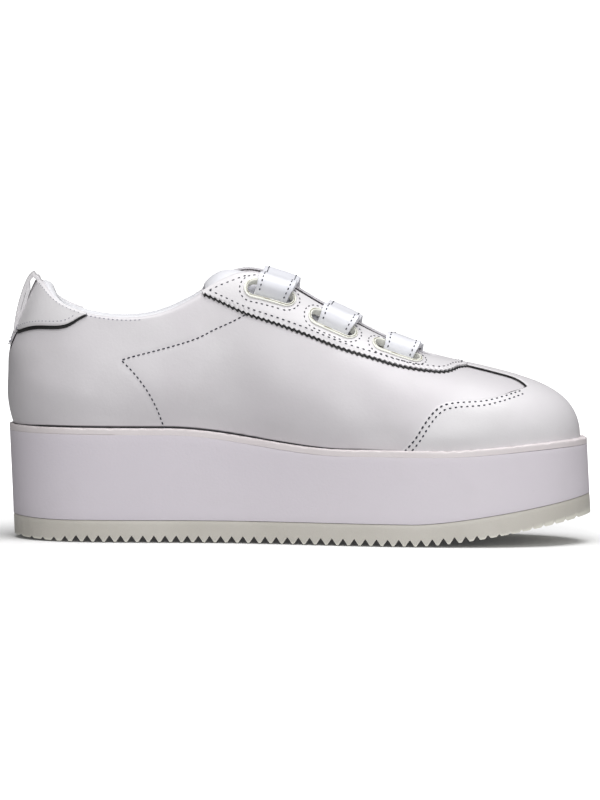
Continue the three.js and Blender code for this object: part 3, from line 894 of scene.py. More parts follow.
# The welt strip's line attribute paints shade into the notches of its scalloped upper edge.
WELT = Finish("welt strip", srgb(228, 221, 222), srgb(222, 214, 216), 0.45, TONE, 1200.0, 0.05,
              line="furrow", line_colour=srgb(150, 138, 136))
RIM = Finish("moulded rim", srgb(246, 246, 238), srgb(238, 238, 230), 0.35, TONE, 1500.0, 0.02,
             line="inlay", line_colour=srgb(138, 134, 112))
THREAD = Finish("dark thread", srgb(62, 63, 76), srgb(44, 45, 54), 0.7, WEAVE, 2500.0, 0.05, dirt=0.0)
PALE_THREAD = Finish("pale thread", srgb(160, 160, 172), srgb(140, 140, 152), 0.7, WEAVE, 2500.0,
                     0.05, dirt=0.0)
EDGE_PAINT = Finish("edge paint", srgb(20, 20, 23), srgb(12, 12, 14), 0.6, TONE, 1500.0, 0.04, dirt=0.1)


def mark(obj: bpy.types.Object, name: str, rule: Callable[[Array], Array]) -> None:
    """Writes a point attribute from a rule on the vertices' places in shoe millimetres.

    Args:
        obj: the piece.
        name: the attribute's name.
        rule: gives each place a value between 0 and 1.
    """
    values = np.clip(rule(Bench.places(obj)), 0, 1).astype(np.float32)
    attribute = obj.data.attributes.new(name, "FLOAT", "POINT")
    attribute.data.foreach_set("value", values)


# ---- Sole --------------------------------------------------------------------------------------


@dataclass(frozen=True)
class Sole:
    """Outsole, midsole, welt strip and insole."""

    pitch: float = 5.0
    tread_depth: float = 3.0
    tip: float = 0.9
    grooves: int = 51
    end_groove: float = 0.9
    bevel: float = 0.45
    welt_height: float = 3.0
    scallop_pitch: float = 5.9
    scallop_depth: float = 0.85
    insole_dish: float = 2.4

    def _groove_size(self, centre: Array) -> tuple[Array, Array]:
        """The depth and half width of the grooves at their middles, smaller at both ends."""
        full = smoothstep(12, 32, centre) * (1 - smoothstep(196, 226, centre))
        depth = self.end_groove + (self.tread_depth - self.end_groove) * full
        half = self.end_groove + ((self.pitch - self.tip) / 2 - self.end_groove) * full
        return depth, half

    def groove(self, x: Array) -> Array:
        """How far the tread is cut away at each place along the shoe."""
        centre = np.clip(np.rint(x / self.pitch), 1, self.grooves) * self.pitch
        depth, half = self._groove_size(centre)
        return depth * np.maximum(0, 1 - np.abs(x - centre) / half)

    def _stations(self) -> Array:
        """Places along the tread: every tooth's corners, and close together at the round ends."""
        u = np.linspace(0, RING, 4801)
        line = LAST.outline(u, wall_margin(LAST.column("foot_x", u), ground_line(LAST.column("foot_x", u))))
        back, front = line[:, 0].min(), line[:, 0].max()
        ends = np.array([0.03, 0.12, 0.28, 0.5, 0.8, 1.2, 1.7, 2.3, 3.0])
        centres = np.arange(1, self.grooves + 1) * self.pitch
        _, half = self._groove_size(centres)
        corners = [centres + share * half for share in (-1, -0.5, -0.06, 0.06, 0.5, 1)]
        places = np.concatenate([*corners, back + ends, front - ends])
        places = places[(places > back) & (places < front)]
        return np.unique(np.round(np.concatenate([[back], places, [front]]), 3))

    def outsole(self) -> bpy.types.Object:
        """The rubber tread, with its teeth cut straight across."""
        stations = self._stations()
        sides = []
        for low, high in ((0.0, HALF), (float(RING), HALF)):
            u = np.linspace(low, high, 2400)
            x = LAST.column("foot_x", u)
            line = LAST.outline(u, wall_margin(x, ground_line(x)))[:, 0]
            line = np.maximum.accumulate(line)
            sides.append(np.interp(stations, line, u))
        sides[0][0], sides[0][-1], sides[1][0], sides[1][-1] = 0, HALF, RING, HALF
        cut = self.groove(stations)
        wall = np.linspace(0, 1, 9)

        def side(u: Array, share: float) -> Array:
            """Points of the wall at a share of its height."""
            x = LAST.column("foot_x", u)
            z = ground_line(x) + cut + (outsole_top(x) - ground_line(x) - cut) * share
            inset = self.bevel * 0.5 * max(0.0, (share - 0.94) / 0.06) ** 2
            point = LAST.outline(u, wall_margin(x, z) - inset)
            point[:, 2] = z
            return point

        walls = [[side(u, share) for share in wall] for u in sides]
        across = np.linspace(0, 1, 25)[1:-1]
        top = [walls[0][-1] * (1 - t) + walls[1][-1] * t for t in across[::3]]
        bottom = [walls[1][0] * (1 - t) + walls[0][0] * t for t in across]
        loop = [*walls[0], *top, *walls[1][::-1], *bottom, walls[0][0]]
        obj = Bench.grid("outsole_rubber", np.stack(loop, axis=1))
        Bench.recalculate(obj)
        Bench.smooth(obj, 28)

        def tips(places: Array) -> Array:
            """How pale the teeth are, from their tips up."""
            rise = places[:, 2] - ground_line(places[:, 0])
            return 0.75 * (1 - smoothstep(0.15, 0.8, rise))

        mark(obj, "tip", tips)
        return keep(obj, RUBBER, "tread_rubber", "outsole")

    def _plate(self, name: str, margin: Callable[[Array, Array], Array],
               low: Callable[[Array], Array], high: Callable[[Array], Array],
               bevel: float, dish: float = 0.0) -> bpy.types.Object:
        """A closed plate between two heights, with rounded rims.

        Args:
            name: the piece's name.
            margin: how far its wall stands outside the feather line, from x and z.
            low: the height of its underside, from x.
            high: the height of its top, from x.
            bevel: the radius of its rims.
            dish: how far its top is hollowed along the middle.

        Returns:
            The plate.
        """
        s = np.linspace(0, 1, 260)
        s = HALF * (s - 0.12 * np.sin(2 * math.pi * s) / math.pi)
        arc = np.linspace(0, math.pi / 2, 6)

        def side(u: Array) -> list[Array]:
            """Rows of points up one side's wall, round both rims."""
            x = LAST.column("foot_x", u)
            bottom, top = low(x), high(x)
            rows = [(bottom + bevel * (1 - math.cos(a)), bevel * (1 - math.sin(a))) for a in arc]
            wall = top - bottom - 2 * bevel
            rows += [(bottom + bevel + wall * t, 0.0) for t in np.linspace(0.1, 0.9, 12)]
            rows += [(top - bevel * (1 - math.sin(a)), bevel * (1 - math.cos(a))) for a in arc]
            points = []
            for z, inset in rows:
                point = LAST.outline(u, margin(x, z) - inset)
                point[:, 2] = z
                points.append(point)
            return points

        inner, outer = side(s), side(RING - s)
        across = np.linspace(0, 1, 21)[1:-1]
        top = []
        for t in across:
            row = inner[-1] * (1 - t) + outer[-1] * t
            row[:, 2] -= dish * math.sin(math.pi * t) ** 0.7 * np.minimum(1, s * (HALF - s) / 4)
            top.append(row)
        bottom = [outer[0] * (1 - t) + inner[0] * t for t in across[::3]]
        loop = [*inner, *top, *outer[::-1], *bottom, inner[0]]
        obj = Bench.grid(name, np.stack(loop, axis=1))
        Bench.recalculate(obj)
        Bench.smooth(obj, 40)
        return obj

    def midsole(self) -> bpy.types.Object:
        """The tall foam platform."""
        obj = self._plate("midsole_foam", wall_margin, lambda x: outsole_top(x) + 0.2, seat, 0.1)
        return keep(obj, FOAM, "sole_foam", "midsole")

    def insole(self) -> bpy.types.Object:
        """The cushioned board inside the shoe, hollowed for the foot."""
        obj = self._plate("insole_board", lambda x, z: -(WALL + 1.0), lambda x: seat(x) + 0.4,
                          lambda x: seat(x) + GAP + 4.0 + 0.6, 1.4, self.insole_dish)
        return keep(obj, LINING, "lining", "insole")

    def welt(self) -> bpy.types.Object:
        """The strip round the top of the sole, with a wheeled upper edge."""
        count = 1200
        u = np.linspace(0, RING, count, endpoint=False)
        x = LAST.column("foot_x", u)
        top = self.welt_height - GAP
        outer = LAST.outline(u, wall_margin(x, seat(x) + GAP + top))
        run = np.linalg.norm(np.roll(outer, -1, axis=0) - outer, axis=1)
        along = np.cumsum(run) - run[0]
        total = along[-1] + run[-1]
        waves = round(total / self.scallop_pitch)
        phase = along / total * waves * math.pi
        notch = 1 - np.abs(np.sin(phase)) ** 0.6
        inner_low = LAST.offset(u, LAST.level_at(u, 0.3), np.full(count, GAP))
        inner_high = LAST.offset(u, LAST.level_at(u, top), np.full(count, GAP + 0.1))
        profile = [(0.0, -0.3, 0.0), (0.5, -0.3, 0.0), (0.97, -0.3, 0.0), (1.0, -0.25, 0.0), (1.0, 0.35, 0.0),
                   (1.0, 0.7, 0.0), (1.0, 1.1, 0.0), (1.0, 1.6, 0.15), (1.0, 2.0, 0.45), (0.985, 2.4, 0.85),
                   (0.93, 2.65, 1.0), (0.8, 2.75, 0.8), (0.55, 2.72, 0.3), (0.3, 2.7, 0.0), (0.1, 2.7, 0.0),
                   (0.0, 2.6, 0.0), (0.0, 1.3, 0.0)]
        columns = []
        for share, height, scallop in profile:
            base = np.where(height > 1.3, 1.0, 0.0)
            inner = inner_low * (1 - base) + inner_high * base
            wall = LAST.outline(u, wall_margin(x, seat(x) + GAP + height))
            point = inner * (1 - share) + wall * share
            centre = unit(inner - wall)
            point += centre * (notch * self.scallop_depth * scallop)[:, None]
            point[:, 2] = seat(point[:, 0]) + GAP + height - notch * self.scallop_depth * scallop
            columns.append(point)
        obj = Bench.ring("welt_strip", np.stack(columns, axis=1))
        Bench.smooth(obj, 60)

        def notch_shade(places: Array) -> Array:
            """Painted shade: how dark the notches near the strip's upper edge are painted."""
            near = np.argmin(np.abs(places[:, None, 0] - outer[None, ::4, 0])
                             + np.abs(places[:, None, 1] - outer[None, ::4, 1]), axis=1) * 4
            rise = places[:, 2] - seat(places[:, 0]) - GAP
            return 0.5 * notch[near] * smoothstep(1.9, 2.4, rise)

        mark(obj, "furrow", notch_shade)
        return keep(obj, WELT, "welt_strip", "welt")

    def build(self) -> None:
        """Builds the sole from the ground up."""
        self.outsole()
        self.midsole()
        self.welt()
        self.insole()


# ---- Upper -------------------------------------------------------------------------------------


@dataclass(frozen=True)
class Crease:
    """A soft trough or ridge across the leather, between two places in side view."""

    start: tuple[float, float]
    end: tuple[float, float]
    height: float
    width: float


CREASES = (
    Crease((150, 86), (163, 50), -0.5, 9),
    Crease((172, 79), (186, 66), -0.4, 6),
    Crease((205, 74), (228, 70), -0.25, 6),
    Crease((60, 96), (40, 60), -0.6, 9),
    Crease((20, 88), (22, 58), -0.35, 8),
    Crease((78, 78), (88, 50), -0.4, 11),
    Crease((110, 84), (120, 52), 0.45, 12),
    Crease((8, 72), (30, 66), 0.3, 6),
    Crease((196, 50), (214, 58), 0.3, 7),
    Crease((228, 60), (246, 55), -0.25, 6),
)


@dataclass(frozen=True)
class Bulge:
    """A soft swell across the back of the heel, at a height over the floor."""

    level: float
    height: float
    width: float


BULGES = (Bulge(84.0, 1.9, 9.0), Bulge(66.0, 0.5, 8.0))
QUARTER_SEAM = ((105.7, 102.6), (98.3, 98.7), (92.2, 96.0), (83.7, 91.7), (68.2, 86.9), (55.4, 83.6),
                (49.8, 81.9))
QUARTER_BACK = ((49.8, 81.9), (55.5, 76.1), (61.6, 68.0), (66.0, 59.8), (69.5, 51.0), (71.3, 48.2))
FACING_EDGE = ((82.5, 113), (92.5, 108.8), (105.6, 103.2), (118.5, 99), (131.5, 94.5), (144.5, 89.5),
               (157.5, 85.2), (170.4, 81.3), (183.5, 78.4), (195, 77))
FACING_FRONT = ((200.2, -15.5), (202.8, -11), (204.4, -8.1), (205, -4.5), (205, 0))
WING_EDGE = ((176, 43.0), (178.2, 45.4), (181.2, 49.0), (185.3, 55.5), (189.4, 60.6), (193.6, 63.4),
             (199.5, 64.5), (212.5, 65.2), (221.1, 67.0), (228.5, 68.9))
STEM_EDGE = ((232.6, -19.5), (230.6, -15.3), (226.2, -11), (216.5, -9.7), (205.3, -8.2))
FACING_TOP_SEAM = ((88.4, 112.2), (93.7, 114.5), (101.0, 117.2), (106.0, 118.8))
TAB_EDGE = ((1.4, 91.3), (2.6, 92), (7.7, 94.9), (12.1, 96), (24.5, 97), (31.8, 100.8), (38.5, 104))


def segment_distance(points: Array, start: Sequence[float], end: Sequence[float]) -> Array:
    """Distance of points from a straight segment.

    Args:
        points: the points, in the last axis.
        start: one end.
        end: the other end.

    Returns:
        Each point's distance.
    """
    a, b = np.asarray(start, dtype=float), np.asarray(end, dtype=float)
    share = np.clip((points - a) @ (b - a) / ((b - a) @ (b - a)), 0, 1)
    return np.linalg.norm(points - a - share[..., None] * (b - a), axis=-1)


def polyline_distance(points: Array, line: Array) -> Array:
    """Distance of points from the nearest part of a polyline."""
    return np.min([segment_distance(points, a, b) for a, b in zip(line[:-1], line[1:])], axis=0)


class Leatherwork:
    """Sheets of leather laid over the last."""

    @staticmethod
    def relief(u: Array, v: Array) -> Array:
        """How far the leather swells or sinks at places on the last, in millimetres.

        Args:
            u: places round the shoe, counted in sections.
            v: how far up the last they lie.

        Returns:
            The relief at each place.
        """
        places = LAST.surface(u, v)
        side = places[..., [0, 2]]
        total = np.zeros(side.shape[:-1])
        for crease in CREASES:
            near = segment_distance(side, crease.start, crease.end) / crease.width
            total = total + crease.height * np.exp(-near**2)
        inner = np.where(np.mod(u, RING) < HALF, 1.0, 0.7)
        swell = 0.12 * np.sin(places[..., 0] / 9.0 + 2.0 * np.sin(places[..., 2] / 11.0))
        fade = smoothstep(0.02, 0.16, v) * (1 - smoothstep(0.75, 0.95, v))
        behind = 1 - smoothstep(0.3, 1.7, np.minimum(np.mod(u, RING), RING - np.mod(u, RING)))
        z = places[..., 2]
        heel = sum(b.height * np.exp(-(((z - b.level) / b.width) ** 2)) for b in BULGES)
        return (total * inner + swell) * fade + heel * behind

    @classmethod
    def points(cls, u: Array, v: Array, height: Array) -> Array:
        """Places over the leather at a height above the last."""
        u, v = np.broadcast_arrays(np.asarray(u, dtype=float), np.asarray(v, dtype=float))
        return LAST.offset(u, v, cls.relief(u, v) + np.asarray(height))

    @classmethod
    def sheet(cls, name: str, u: Array, v: Array, height: Array, thickness: float) -> bpy.types.Object:
        """Lays a sheet of leather over the last.

        Args:
            name: the piece's name.
            u: how far round the shoe each of its points lies, rows by columns.
            v: how far up the last each of them lies.
            height: how far its outer face is from the last.
            thickness: how thick it is, in millimetres.

        Returns:
            The sheet.
        """
        obj = Bench.grid(name, cls.points(u, v, height), merge=False)
        Bench.edit(obj, bpy.ops.mesh.flip_normals)
        Bench.thicken(obj, thickness)
        Bench.smooth(obj, 50)
        return obj

    @staticmethod
    def trace(line: Sequence[Sequence[float]], count: int, side: Side,
              view: View = View.SIDE) -> Array:
        """Finds where a line drawn in side view or in plan runs on the last, as rows of u and v.

        Args:
            line: the points that the line runs through, in millimetres.
            count: how many points to find.
            side: the side of the shoe.
            view: the view that it is drawn in.

        Returns:
            Rows of u and v.
        """
        return LAST.find(smooth_path(line, count), view, side)


def ruled(edge: Array, far: Array, columns: int) -> tuple[Array, Array]:
    """Rows of u and v from an edge to a second line, column by column.

    Args:
        edge: rows of u and v.
        far: as many rows of the second line.
        columns: how many places each row gets.

    Returns:
        The u and the v, rows by columns.
    """
    t = np.linspace(0, 1, columns)[None, :]
    u = edge[:, :1] * (1 - t) + far[:, :1] * t
    v = edge[:, 1:] * (1 - t) + far[:, 1:] * t
    return u, v


@dataclass(frozen=True)
class Slot:
    """A slot through the inner facing, and the strap that comes up through it."""

    name: str
    section: float
    level: float
    length: float
    width: float
    lean: float
    crown: float


SLOTS = (
    Slot("top", 6.31, 0.84, 20.8, 16.8, 3.4, 0.4),
    Slot("middle", 7.39, 0.84, 21.4, 16.5, 4.0, 1.4),
    Slot("front", 8.51, 0.835, 21.4, 15.5, 3.1, 3.9),
)
SLOT_HALF = 3.4
STRAP_SEAM = 0.76
UNDERLAY_TOP = 0.42
UNDERLAY_THICKNESS = 0.3


def slot_axes(slot: Slot) -> tuple[Array, Array, Array, Array]:
    """A slot's centre on the last, and its directions along, across and outward."""
    place = np.array(slot.section), np.array(slot.level)
    around, _, normal = LAST.slopes(*place)
    return LAST.surface(*place), unit(around), np.cross(normal, unit(around)), normal


def stadium(length: float, half: float, count: int) -> Array:
    """Evenly spaced points round a slot's outline, as distances along and across it.

    Args:
        length: the slot's length.
        half: half of its width.
        count: how many points.

    Returns:
        Rows of distances along and across the slot.
    """
    straight = length / 2 - half
    turns = np.linspace(-math.pi / 2, math.pi / 2, 40)
    corners = [(straight + half * math.cos(a), half * math.sin(a)) for a in turns]
    corners += [(-straight - half * math.cos(a), -half * math.sin(a)) for a in turns]
    return resample(np.array([*corners, corners[0]]), count + 1)[:-1]


def in_a_slot(margin: float) -> Callable[[Array], Array]:
    """A rule that picks places within a margin of any slot's outline on the inner side.

    Args:
        margin: the margin, in millimetres.

    Returns:
        The rule, which takes places in shoe millimetres.
    """
    frames = [(slot, *slot_axes(slot)) for slot in SLOTS]

    def rule(places: Array) -> Array:
        """Which places lie in a slot."""
        inside = np.zeros(len(places), dtype=bool)
        for slot, centre, along, across, normal in frames:
            away = places - centre
            straight = slot.length / 2 - SLOT_HALF
            a = np.maximum(np.abs(away @ along) - straight, 0)
            b = away @ across
            near = np.hypot(a, b) < SLOT_HALF + margin
            inside |= near & (np.abs(away @ normal) < 6)
        return inside

    return rule


@dataclass(frozen=True)
class Upper:
    """The leather body of the upper with its lining and padded collar."""

    leather: float = 1.3
    collar_pad: float = 4.2
    stations: int = 430
    levels: int = 84

    def _ring(self) -> Array:
        """Stations round the shoe, closer together where the slots are cut."""
        u = np.linspace(0, RING, 4801)
        weight = np.where((u > 5.7) & (u < 9.4), 1.7, 1.0)
        total = np.concatenate([[0], np.cumsum((weight[1:] + weight[:-1]) / 2)])
        return np.interp(np.linspace(0, total[-1], self.stations + 1), total, u)

    def body(self) -> bpy.types.Object:
        """The outer leather, from under the welt to the collar and throat."""
        u = self._ring()[:, None]
        fine = np.linspace(0.03, 0.11, 16)
        v = np.concatenate([[0.0, 0.015], fine, np.linspace(0.11, 1, self.levels - 16)[1:]])[None, :]
        u, v = np.broadcast_arrays(u, v)
        places = LAST.surface(u, v)[..., [0, 2]]
        seam = np.vstack([QUARTER_SEAM, QUARTER_BACK[1:]])
        near = polyline_distance(places, seam)
        furrow = -0.16 * np.exp(-((near / 1.1) ** 2))
        roll = -1.2 * smoothstep(0.975, 1.0, v) ** 2
        obj = Bench.grid("upper_leather", Leatherwork.points(u, v, furrow + roll))
        Bench.edit(obj, bpy.ops.mesh.flip_normals)
        Bench.cut_away(obj, in_a_slot(0.5))
        Bench.thicken(obj, self.leather)
        Bench.smooth(obj, 50)

        def crevice_shade(places: Array) -> Array:
            """Painted shade: how dark the leather is painted where it tucks in over the welt."""
            rise = places[:, 2] - seat(places[:, 0]) - GAP
            width = 0.75 * (1 - 0.75 * smoothstep(90, 155, places[:, 0])) * smoothstep(0, 20, places[:, 0])
            fade = 1 - smoothstep(150, 175, places[:, 0])
            return fade * (1 - smoothstep(2.75 + width, 3.1 + width, rise))

        mark(obj, "crevice_shade", crevice_shade)
        return keep(obj, LEATHER, "white_leather", "upper")

    def lining(self) -> bpy.types.Object:
        """The lining, padded round the collar and rolled over its edge."""
        u = np.linspace(0, RING, 361)[:-1]
        swing = np.abs(np.mod(u + HALF, RING) - HALF)
        collar = 1 - smoothstep(4.6, 5.6, swing)
        outer_v = np.linspace(0.03, 0.97, 26)
        inner_v = np.linspace(1.0, 0.03, 40)
        columns = [LAST.offset(u, np.full_like(u, v), np.full_like(u, -self.leather - 0.35)) for v in outer_v]
        rim = LAST.surface(u, np.ones_like(u))
        _, up, normal = LAST.slopes(u, np.ones_like(u))
        depth = 1.0 + self.collar_pad * collar
        for angle in np.linspace(0.15, 0.85, 7) * math.pi:
            inward = (1 - math.cos(angle)) / 2
            lift = math.sin(angle)
            point = rim - normal * (self.leather + 0.35 + depth * inward)[:, None]
            point += unit(up) * (lift * (0.1 + 1.1 * collar) - 1.0 * (1 - collar))[:, None]
            columns.append(point)
        for v in inner_v:
            pad = collar * self.collar_pad * smoothstep(0.35, 0.8, v)
            columns.append(LAST.offset(u, np.full_like(u, v * 0.98), -self.leather - 1.35 - pad))
        obj = Bench.ring("collar_lining", np.stack(columns, axis=1))
        Bench.cut_away(obj, in_a_slot(0.9))
        Bench.smooth(obj, 60)
        piece = keep(obj, LINING, "lining")
        return piece

    def build(self) -> None:
        """Builds the leather body and its lining."""
        self.body()
        self.lining()


@dataclass(frozen=True)
class TongueStation:
    """One section across the tongue: its place, height, half width, fall of its sides, thickness."""

    x: float
    z: float
    half: float
    fall: float
    thick: float


@dataclass(frozen=True)
class Tongue:
    """The padded tongue under the throat."""

    rows: tuple[TongueStation, ...] = (
        TongueStation(200, 73.2, 12, 4.5, 1.6),
        TongueStation(188, 80.0, 16, 7.5, 3.2),
        TongueStation(172, 87.6, 20, 10.5, 5),
        TongueStation(152, 97.9, 23, 13.2, 6),
        TongueStation(132, 109.0, 24, 13.6, 6.5),
        TongueStation(112, 118.2, 22, 13.8, 6.5),
        TongueStation(99.5, 121.4, 19.5, 12, 7),
        TongueStation(93.5, 120.6, 17.5, 9.5, 6.5),
        TongueStation(88.8, 117.6, 15, 7, 5),
        TongueStation(85.8, 114.2, 12, 5.5, 2),
    )
    voxel: float = 1.6
    pressure: float = 2.0
    frames: int = 12
    cap: float = 0.7
    shrink: float = 0.35

    def _loft(self, count: int, columns: int) -> tuple[Array, Array]:
        """The tongue's upper and under side as sheets of points.

        Args:
            count: how many sections.
            columns: how many points across each.

        Returns:
            The two sheets.
        """
        table = np.array([(r.x, r.z, r.half, r.fall, r.thick) for r in self.rows])
        fine = smooth_path(table, count)
        t = np.linspace(-1, 1, columns)[None, :]
        x, z, half, fall, thick = (fine[:, k : k + 1] for k in range(5))
        top = np.stack([x + 0 * t, half * t, z - fall * np.abs(t) ** 2.3], axis=-1)
        down = unit(np.array([-0.35, 0, -1.0]))
        under = top + down * (thick * (1 - 0.6 * np.abs(t) ** 4))[..., None]
        return top, under

    def _swell(self, obj: bpy.types.Object) -> None:
        """Blows the padding up against its cover with a cloth simulation."""
        Bench.modify(obj, "REMESH", mode="VOXEL", voxel_size=self.voxel * MM)
        before = Bench.read(obj.data.vertices)
        Bench.select(obj)
        cloth = obj.modifiers.new("Cloth", "CLOTH")
        cloth.settings.use_pressure = True
        cloth.settings.uniform_pressure_force = self.pressure
        cloth.settings.effector_weights.gravity = 0
        cloth.settings.quality = 4
        cloth.point_cache.frame_start = 1
        cloth.point_cache.frame_end = self.frames
        for frame in range(1, self.frames + 1):
            bpy.context.scene.frame_set(frame)
        bpy.ops.object.modifier_apply(modifier=cloth.name)
        bpy.context.scene.frame_set(1)
        move = (Bench.read(obj.data.vertices) - before).astype(float)
        size = np.maximum(np.linalg.norm(move, axis=1, keepdims=True), 1e-9)
        move *= np.minimum(1, self.cap * MM / size)
        obj.data.vertices.foreach_set("co", (before + move).astype(np.float32).ravel())
        obj.data.update()

    def build(self) -> None:
        """Builds the tongue and swells it."""
        top, under = self._loft(120, 44)
        top = top - np.array([0, 0, self.shrink])
        obj = Bench.grid("tongue_pad", top, merge=False)
        flat_top, flat_under = top.reshape(-1, 3), under.reshape(-1, 3)

        def far(places: Array) -> Array:
            """Sends each place of the upper side to its match on the under side."""
            known = np.lexsort(np.round(flat_top, 3).T)
            found = np.lexsort(np.round(places, 3).T)
            moved = np.empty_like(places)
            moved[found] = flat_under[known]
            return moved

        Bench.fill_to(obj, far)
        self._swell(obj)
        Bench.modify(obj, "SUBSURF", levels=1, render_levels=1)
        Bench.smooth(obj, 70)
        keep(obj, PADDING, "white_leather", "tongue")


@dataclass(frozen=True)
class Overlays:
    """The leather sewn on top of the upper: facing, toe overlay, heel tab and pull loop.

    The levels are shares of the way up the last along the ridge of the toe.
    """

    tooth_pitch: float = 2.4
    tooth_depth: float = 1.0
    under_edge: float = 1.1
    facing_thickness: float = 0.8
    toe_thickness: float = 1.1
    tab_thickness: float = 1.0
    loop_thickness: float = 1.6
    wing_level: float = 0.55
    feather_level: float = 0.02
    stem_level: float = 0.904
    toe_shift: float = 3.6

    def facing_edge(self) -> Array:
        """The facing's lower edge once round, from the inner collar over the vamp to the outer."""
        sides = []
        for side in Side:
            front = [(x, -y if side is Side.OUTER else y) for x, y in FACING_FRONT]
            edge = Leatherwork.trace(FACING_EDGE, 380, side)[:-6]
            front = Leatherwork.trace(front, 40, side, View.PLAN)
            sides.append(smooth_path(np.vstack([edge[::12], front[::6], front[-1:]]), 440))
        line = np.vstack([sides[0], sides[1][::-1]])
        line[:, 0] = np.maximum.accumulate(line[:, 0] + np.linspace(0, 1e-4, len(line)))
        line[:, 1] = np.convolve(np.pad(line[:, 1], 6, mode="edge"), np.ones(13) / 13, mode="valid")
        return line[line[:, 1] < 0.985]

    def _pinked(self, line: Array, lower: float, depth: float) -> Array:
        """Cuts a zigzag into a line, moved down the profile by a distance.

        Args:
            line: rows of u and v.
            lower: how far down the line moves.
            depth: how deep the teeth are.

        Returns:
            The cut line's rows of u and v.
        """
        places = LAST.surface(line[:, 0], line[:, 1])
        run = distances(places)
        count = int(run[-1] / (self.tooth_pitch / 8))
        even = np.linspace(0, run[-1], count)
        u, v = np.interp(even, run, line[:, 0]), np.interp(even, run, line[:, 1])
        wave = np.abs(np.mod(even / self.tooth_pitch, 1) - 0.5) * 2
        _, up, _ = LAST.slopes(u, v)
        drop = (lower + depth * wave) / np.linalg.norm(up, axis=-1)
        return np.stack([u, np.clip(v - drop, 0.02, 1)], axis=-1)

    def facing(self) -> bpy.types.Object:
        """The strap facing round the throat, with its pinked edge."""
        edge = self._pinked(self.facing_edge(), -0.5, self.tooth_depth)
        far = np.stack([edge[:, 0], np.ones(len(edge))], axis=-1)
        u, v = ruled(edge, far, 34)
        low = 1 - smoothstep(0.0, 0.12, np.linspace(0, 1, 34))[None, :]
        height = FACING_TOP - 0.35 * low - 0.5 * smoothstep(0.985, 1.0, v)
        obj = Bench.grid("facing_leather", Leatherwork.points(u, v, height), merge=False)
        Bench.edit(obj, bpy.ops.mesh.flip_normals)
        Bench.cut_away(obj, in_a_slot(0.5))
        Bench.thicken(obj, self.facing_thickness)
        Bench.smooth(obj, 50)
        return keep(obj, OVERLAY_LEATHER, "overlay_leather", "facing")

    def facing_underlay(self) -> bpy.types.Object:
        """The dark layer whose own teeth show under the facing's."""
        line = self.facing_edge()
        line = line[(line[:, 0] > 5.05) & (line[:, 0] < RING - 5.05)]
        edge = self._pinked(line, self.under_edge - 0.5, self.tooth_depth)
        far = self._pinked(line, -1.6, 0.0)
        u, v = ruled(edge, far, 7)
        return keep(
            Leatherwork.sheet("facing_underlay", u, v, np.full_like(u, UNDERLAY_TOP), UNDERLAY_THICKNESS),
            EDGE_PAINT, "overlay_leather",
        )

    def _across(self, line: Sequence[Sequence[float]]) -> list[tuple[float, float]]:
        """Mirrors a line in plan to the outer side, about the toe's own middle."""
        return [(x, -y - self.toe_shift * float(smoothstep(216, 232, x))) for x, y in line]

    def wing_line(self, side: Side) -> Array:
        """The toe overlay's back edge on one side, from the feather line up and round to the stem.

        Args:
            side: the side of the shoe.

        Returns:
            Rows of u and v.
        """
        stem = self._across(STEM_EDGE) if side is Side.OUTER else STEM_EDGE
        wing = Leatherwork.trace(WING_EDGE, 200, side)
        top = Leatherwork.trace(stem, 120, side, View.PLAN)
        return smooth_path(np.vstack([wing[:-4:8], top[6::8], top[-1:]]), 300)

    def toe_overlay(self) -> bpy.types.Object:
        """The winged toe overlay, whose stem runs up the ridge of the vamp to the facing."""
        inner, outer = self.wing_line(Side.INNER), self.wing_line(Side.OUTER)
        run = np.linspace(0, 1, len(inner))
        turn = 0.5 * float(np.interp(0.545, inner[:, 1], run) + np.interp(0.545, outer[:, 1], run))
        edge_v = (inner[:, 1] + outer[:, 1]) / 2
        low, high = self.feather_level, self.wing_level
        toe = low + (high - low) * np.clip(run / turn, 0, 1) ** 1.1
        spine_v = np.where(run < turn, toe, high + (edge_v - edge_v[np.argmin(np.abs(run - turn))]))
        stem = run >= turn
        spine_v[stem] *= 1 + (self.stem_level / spine_v[-1] - 1) * (run[stem] - turn) / (1 - turn)
        spine_v = np.maximum.accumulate(spine_v)
        spine = np.stack([np.full(len(run), float(HALF)), spine_v], axis=-1)
        t = np.linspace(0, 1, 46)
        t = (t - 0.1 * np.sin(2 * math.pi * t) / math.pi)[None, :, None]
        first = inner[:, None] * (1 - t) + spine[:, None] * t
        second = outer[:, None] * (1 - t) + spine[:, None] * t
        uv = np.concatenate([first, second[:, -2::-1]], axis=1)
        rim = np.concatenate([t[0, :, 0], t[0, -2::-1, 0]])[None, :]
        height = FACING_TOP - 0.45 * (1 - smoothstep(0.0, 0.04, rim)) + 0 * uv[..., 0]
        obj = Bench.grid("toe_overlay_leather", Leatherwork.points(uv[..., 0], uv[..., 1], height),
                         merge=False)
        Bench.thicken(obj, self.toe_thickness)
        Bench.smooth(obj, 50)
        return keep(obj, OVERLAY_LEATHER, "overlay_leather", "toe_overlay")

    def stem_binding(self, side: Side) -> bpy.types.Object:
        """The dark edge along the toe overlay's stem on one side.

        Args:
            side: the side of the shoe.

        Returns:
            The binding.
        """
        line = self.wing_line(side)
        line = line[line[:, 1] > 0.5]
        taper = smoothstep(0, 30, np.arange(len(line)))
        turn = -1.0 if side is Side.OUTER else 1.0
        edge = LAST.beside(line, turn * (0.15 + 0.45 * taper))
        far = LAST.beside(line, np.full(len(line), -0.5 * turn))
        u, v = ruled(edge, far, 6)
        if side is Side.OUTER:
            u, v = u[:, ::-1], v[:, ::-1]
        height = np.full_like(u, UNDERLAY_TOP)
        obj = Leatherwork.sheet(f"stem_binding_{side.value}", u, v, height, UNDERLAY_THICKNESS)
        return keep(obj, EDGE_PAINT, "overlay_leather")

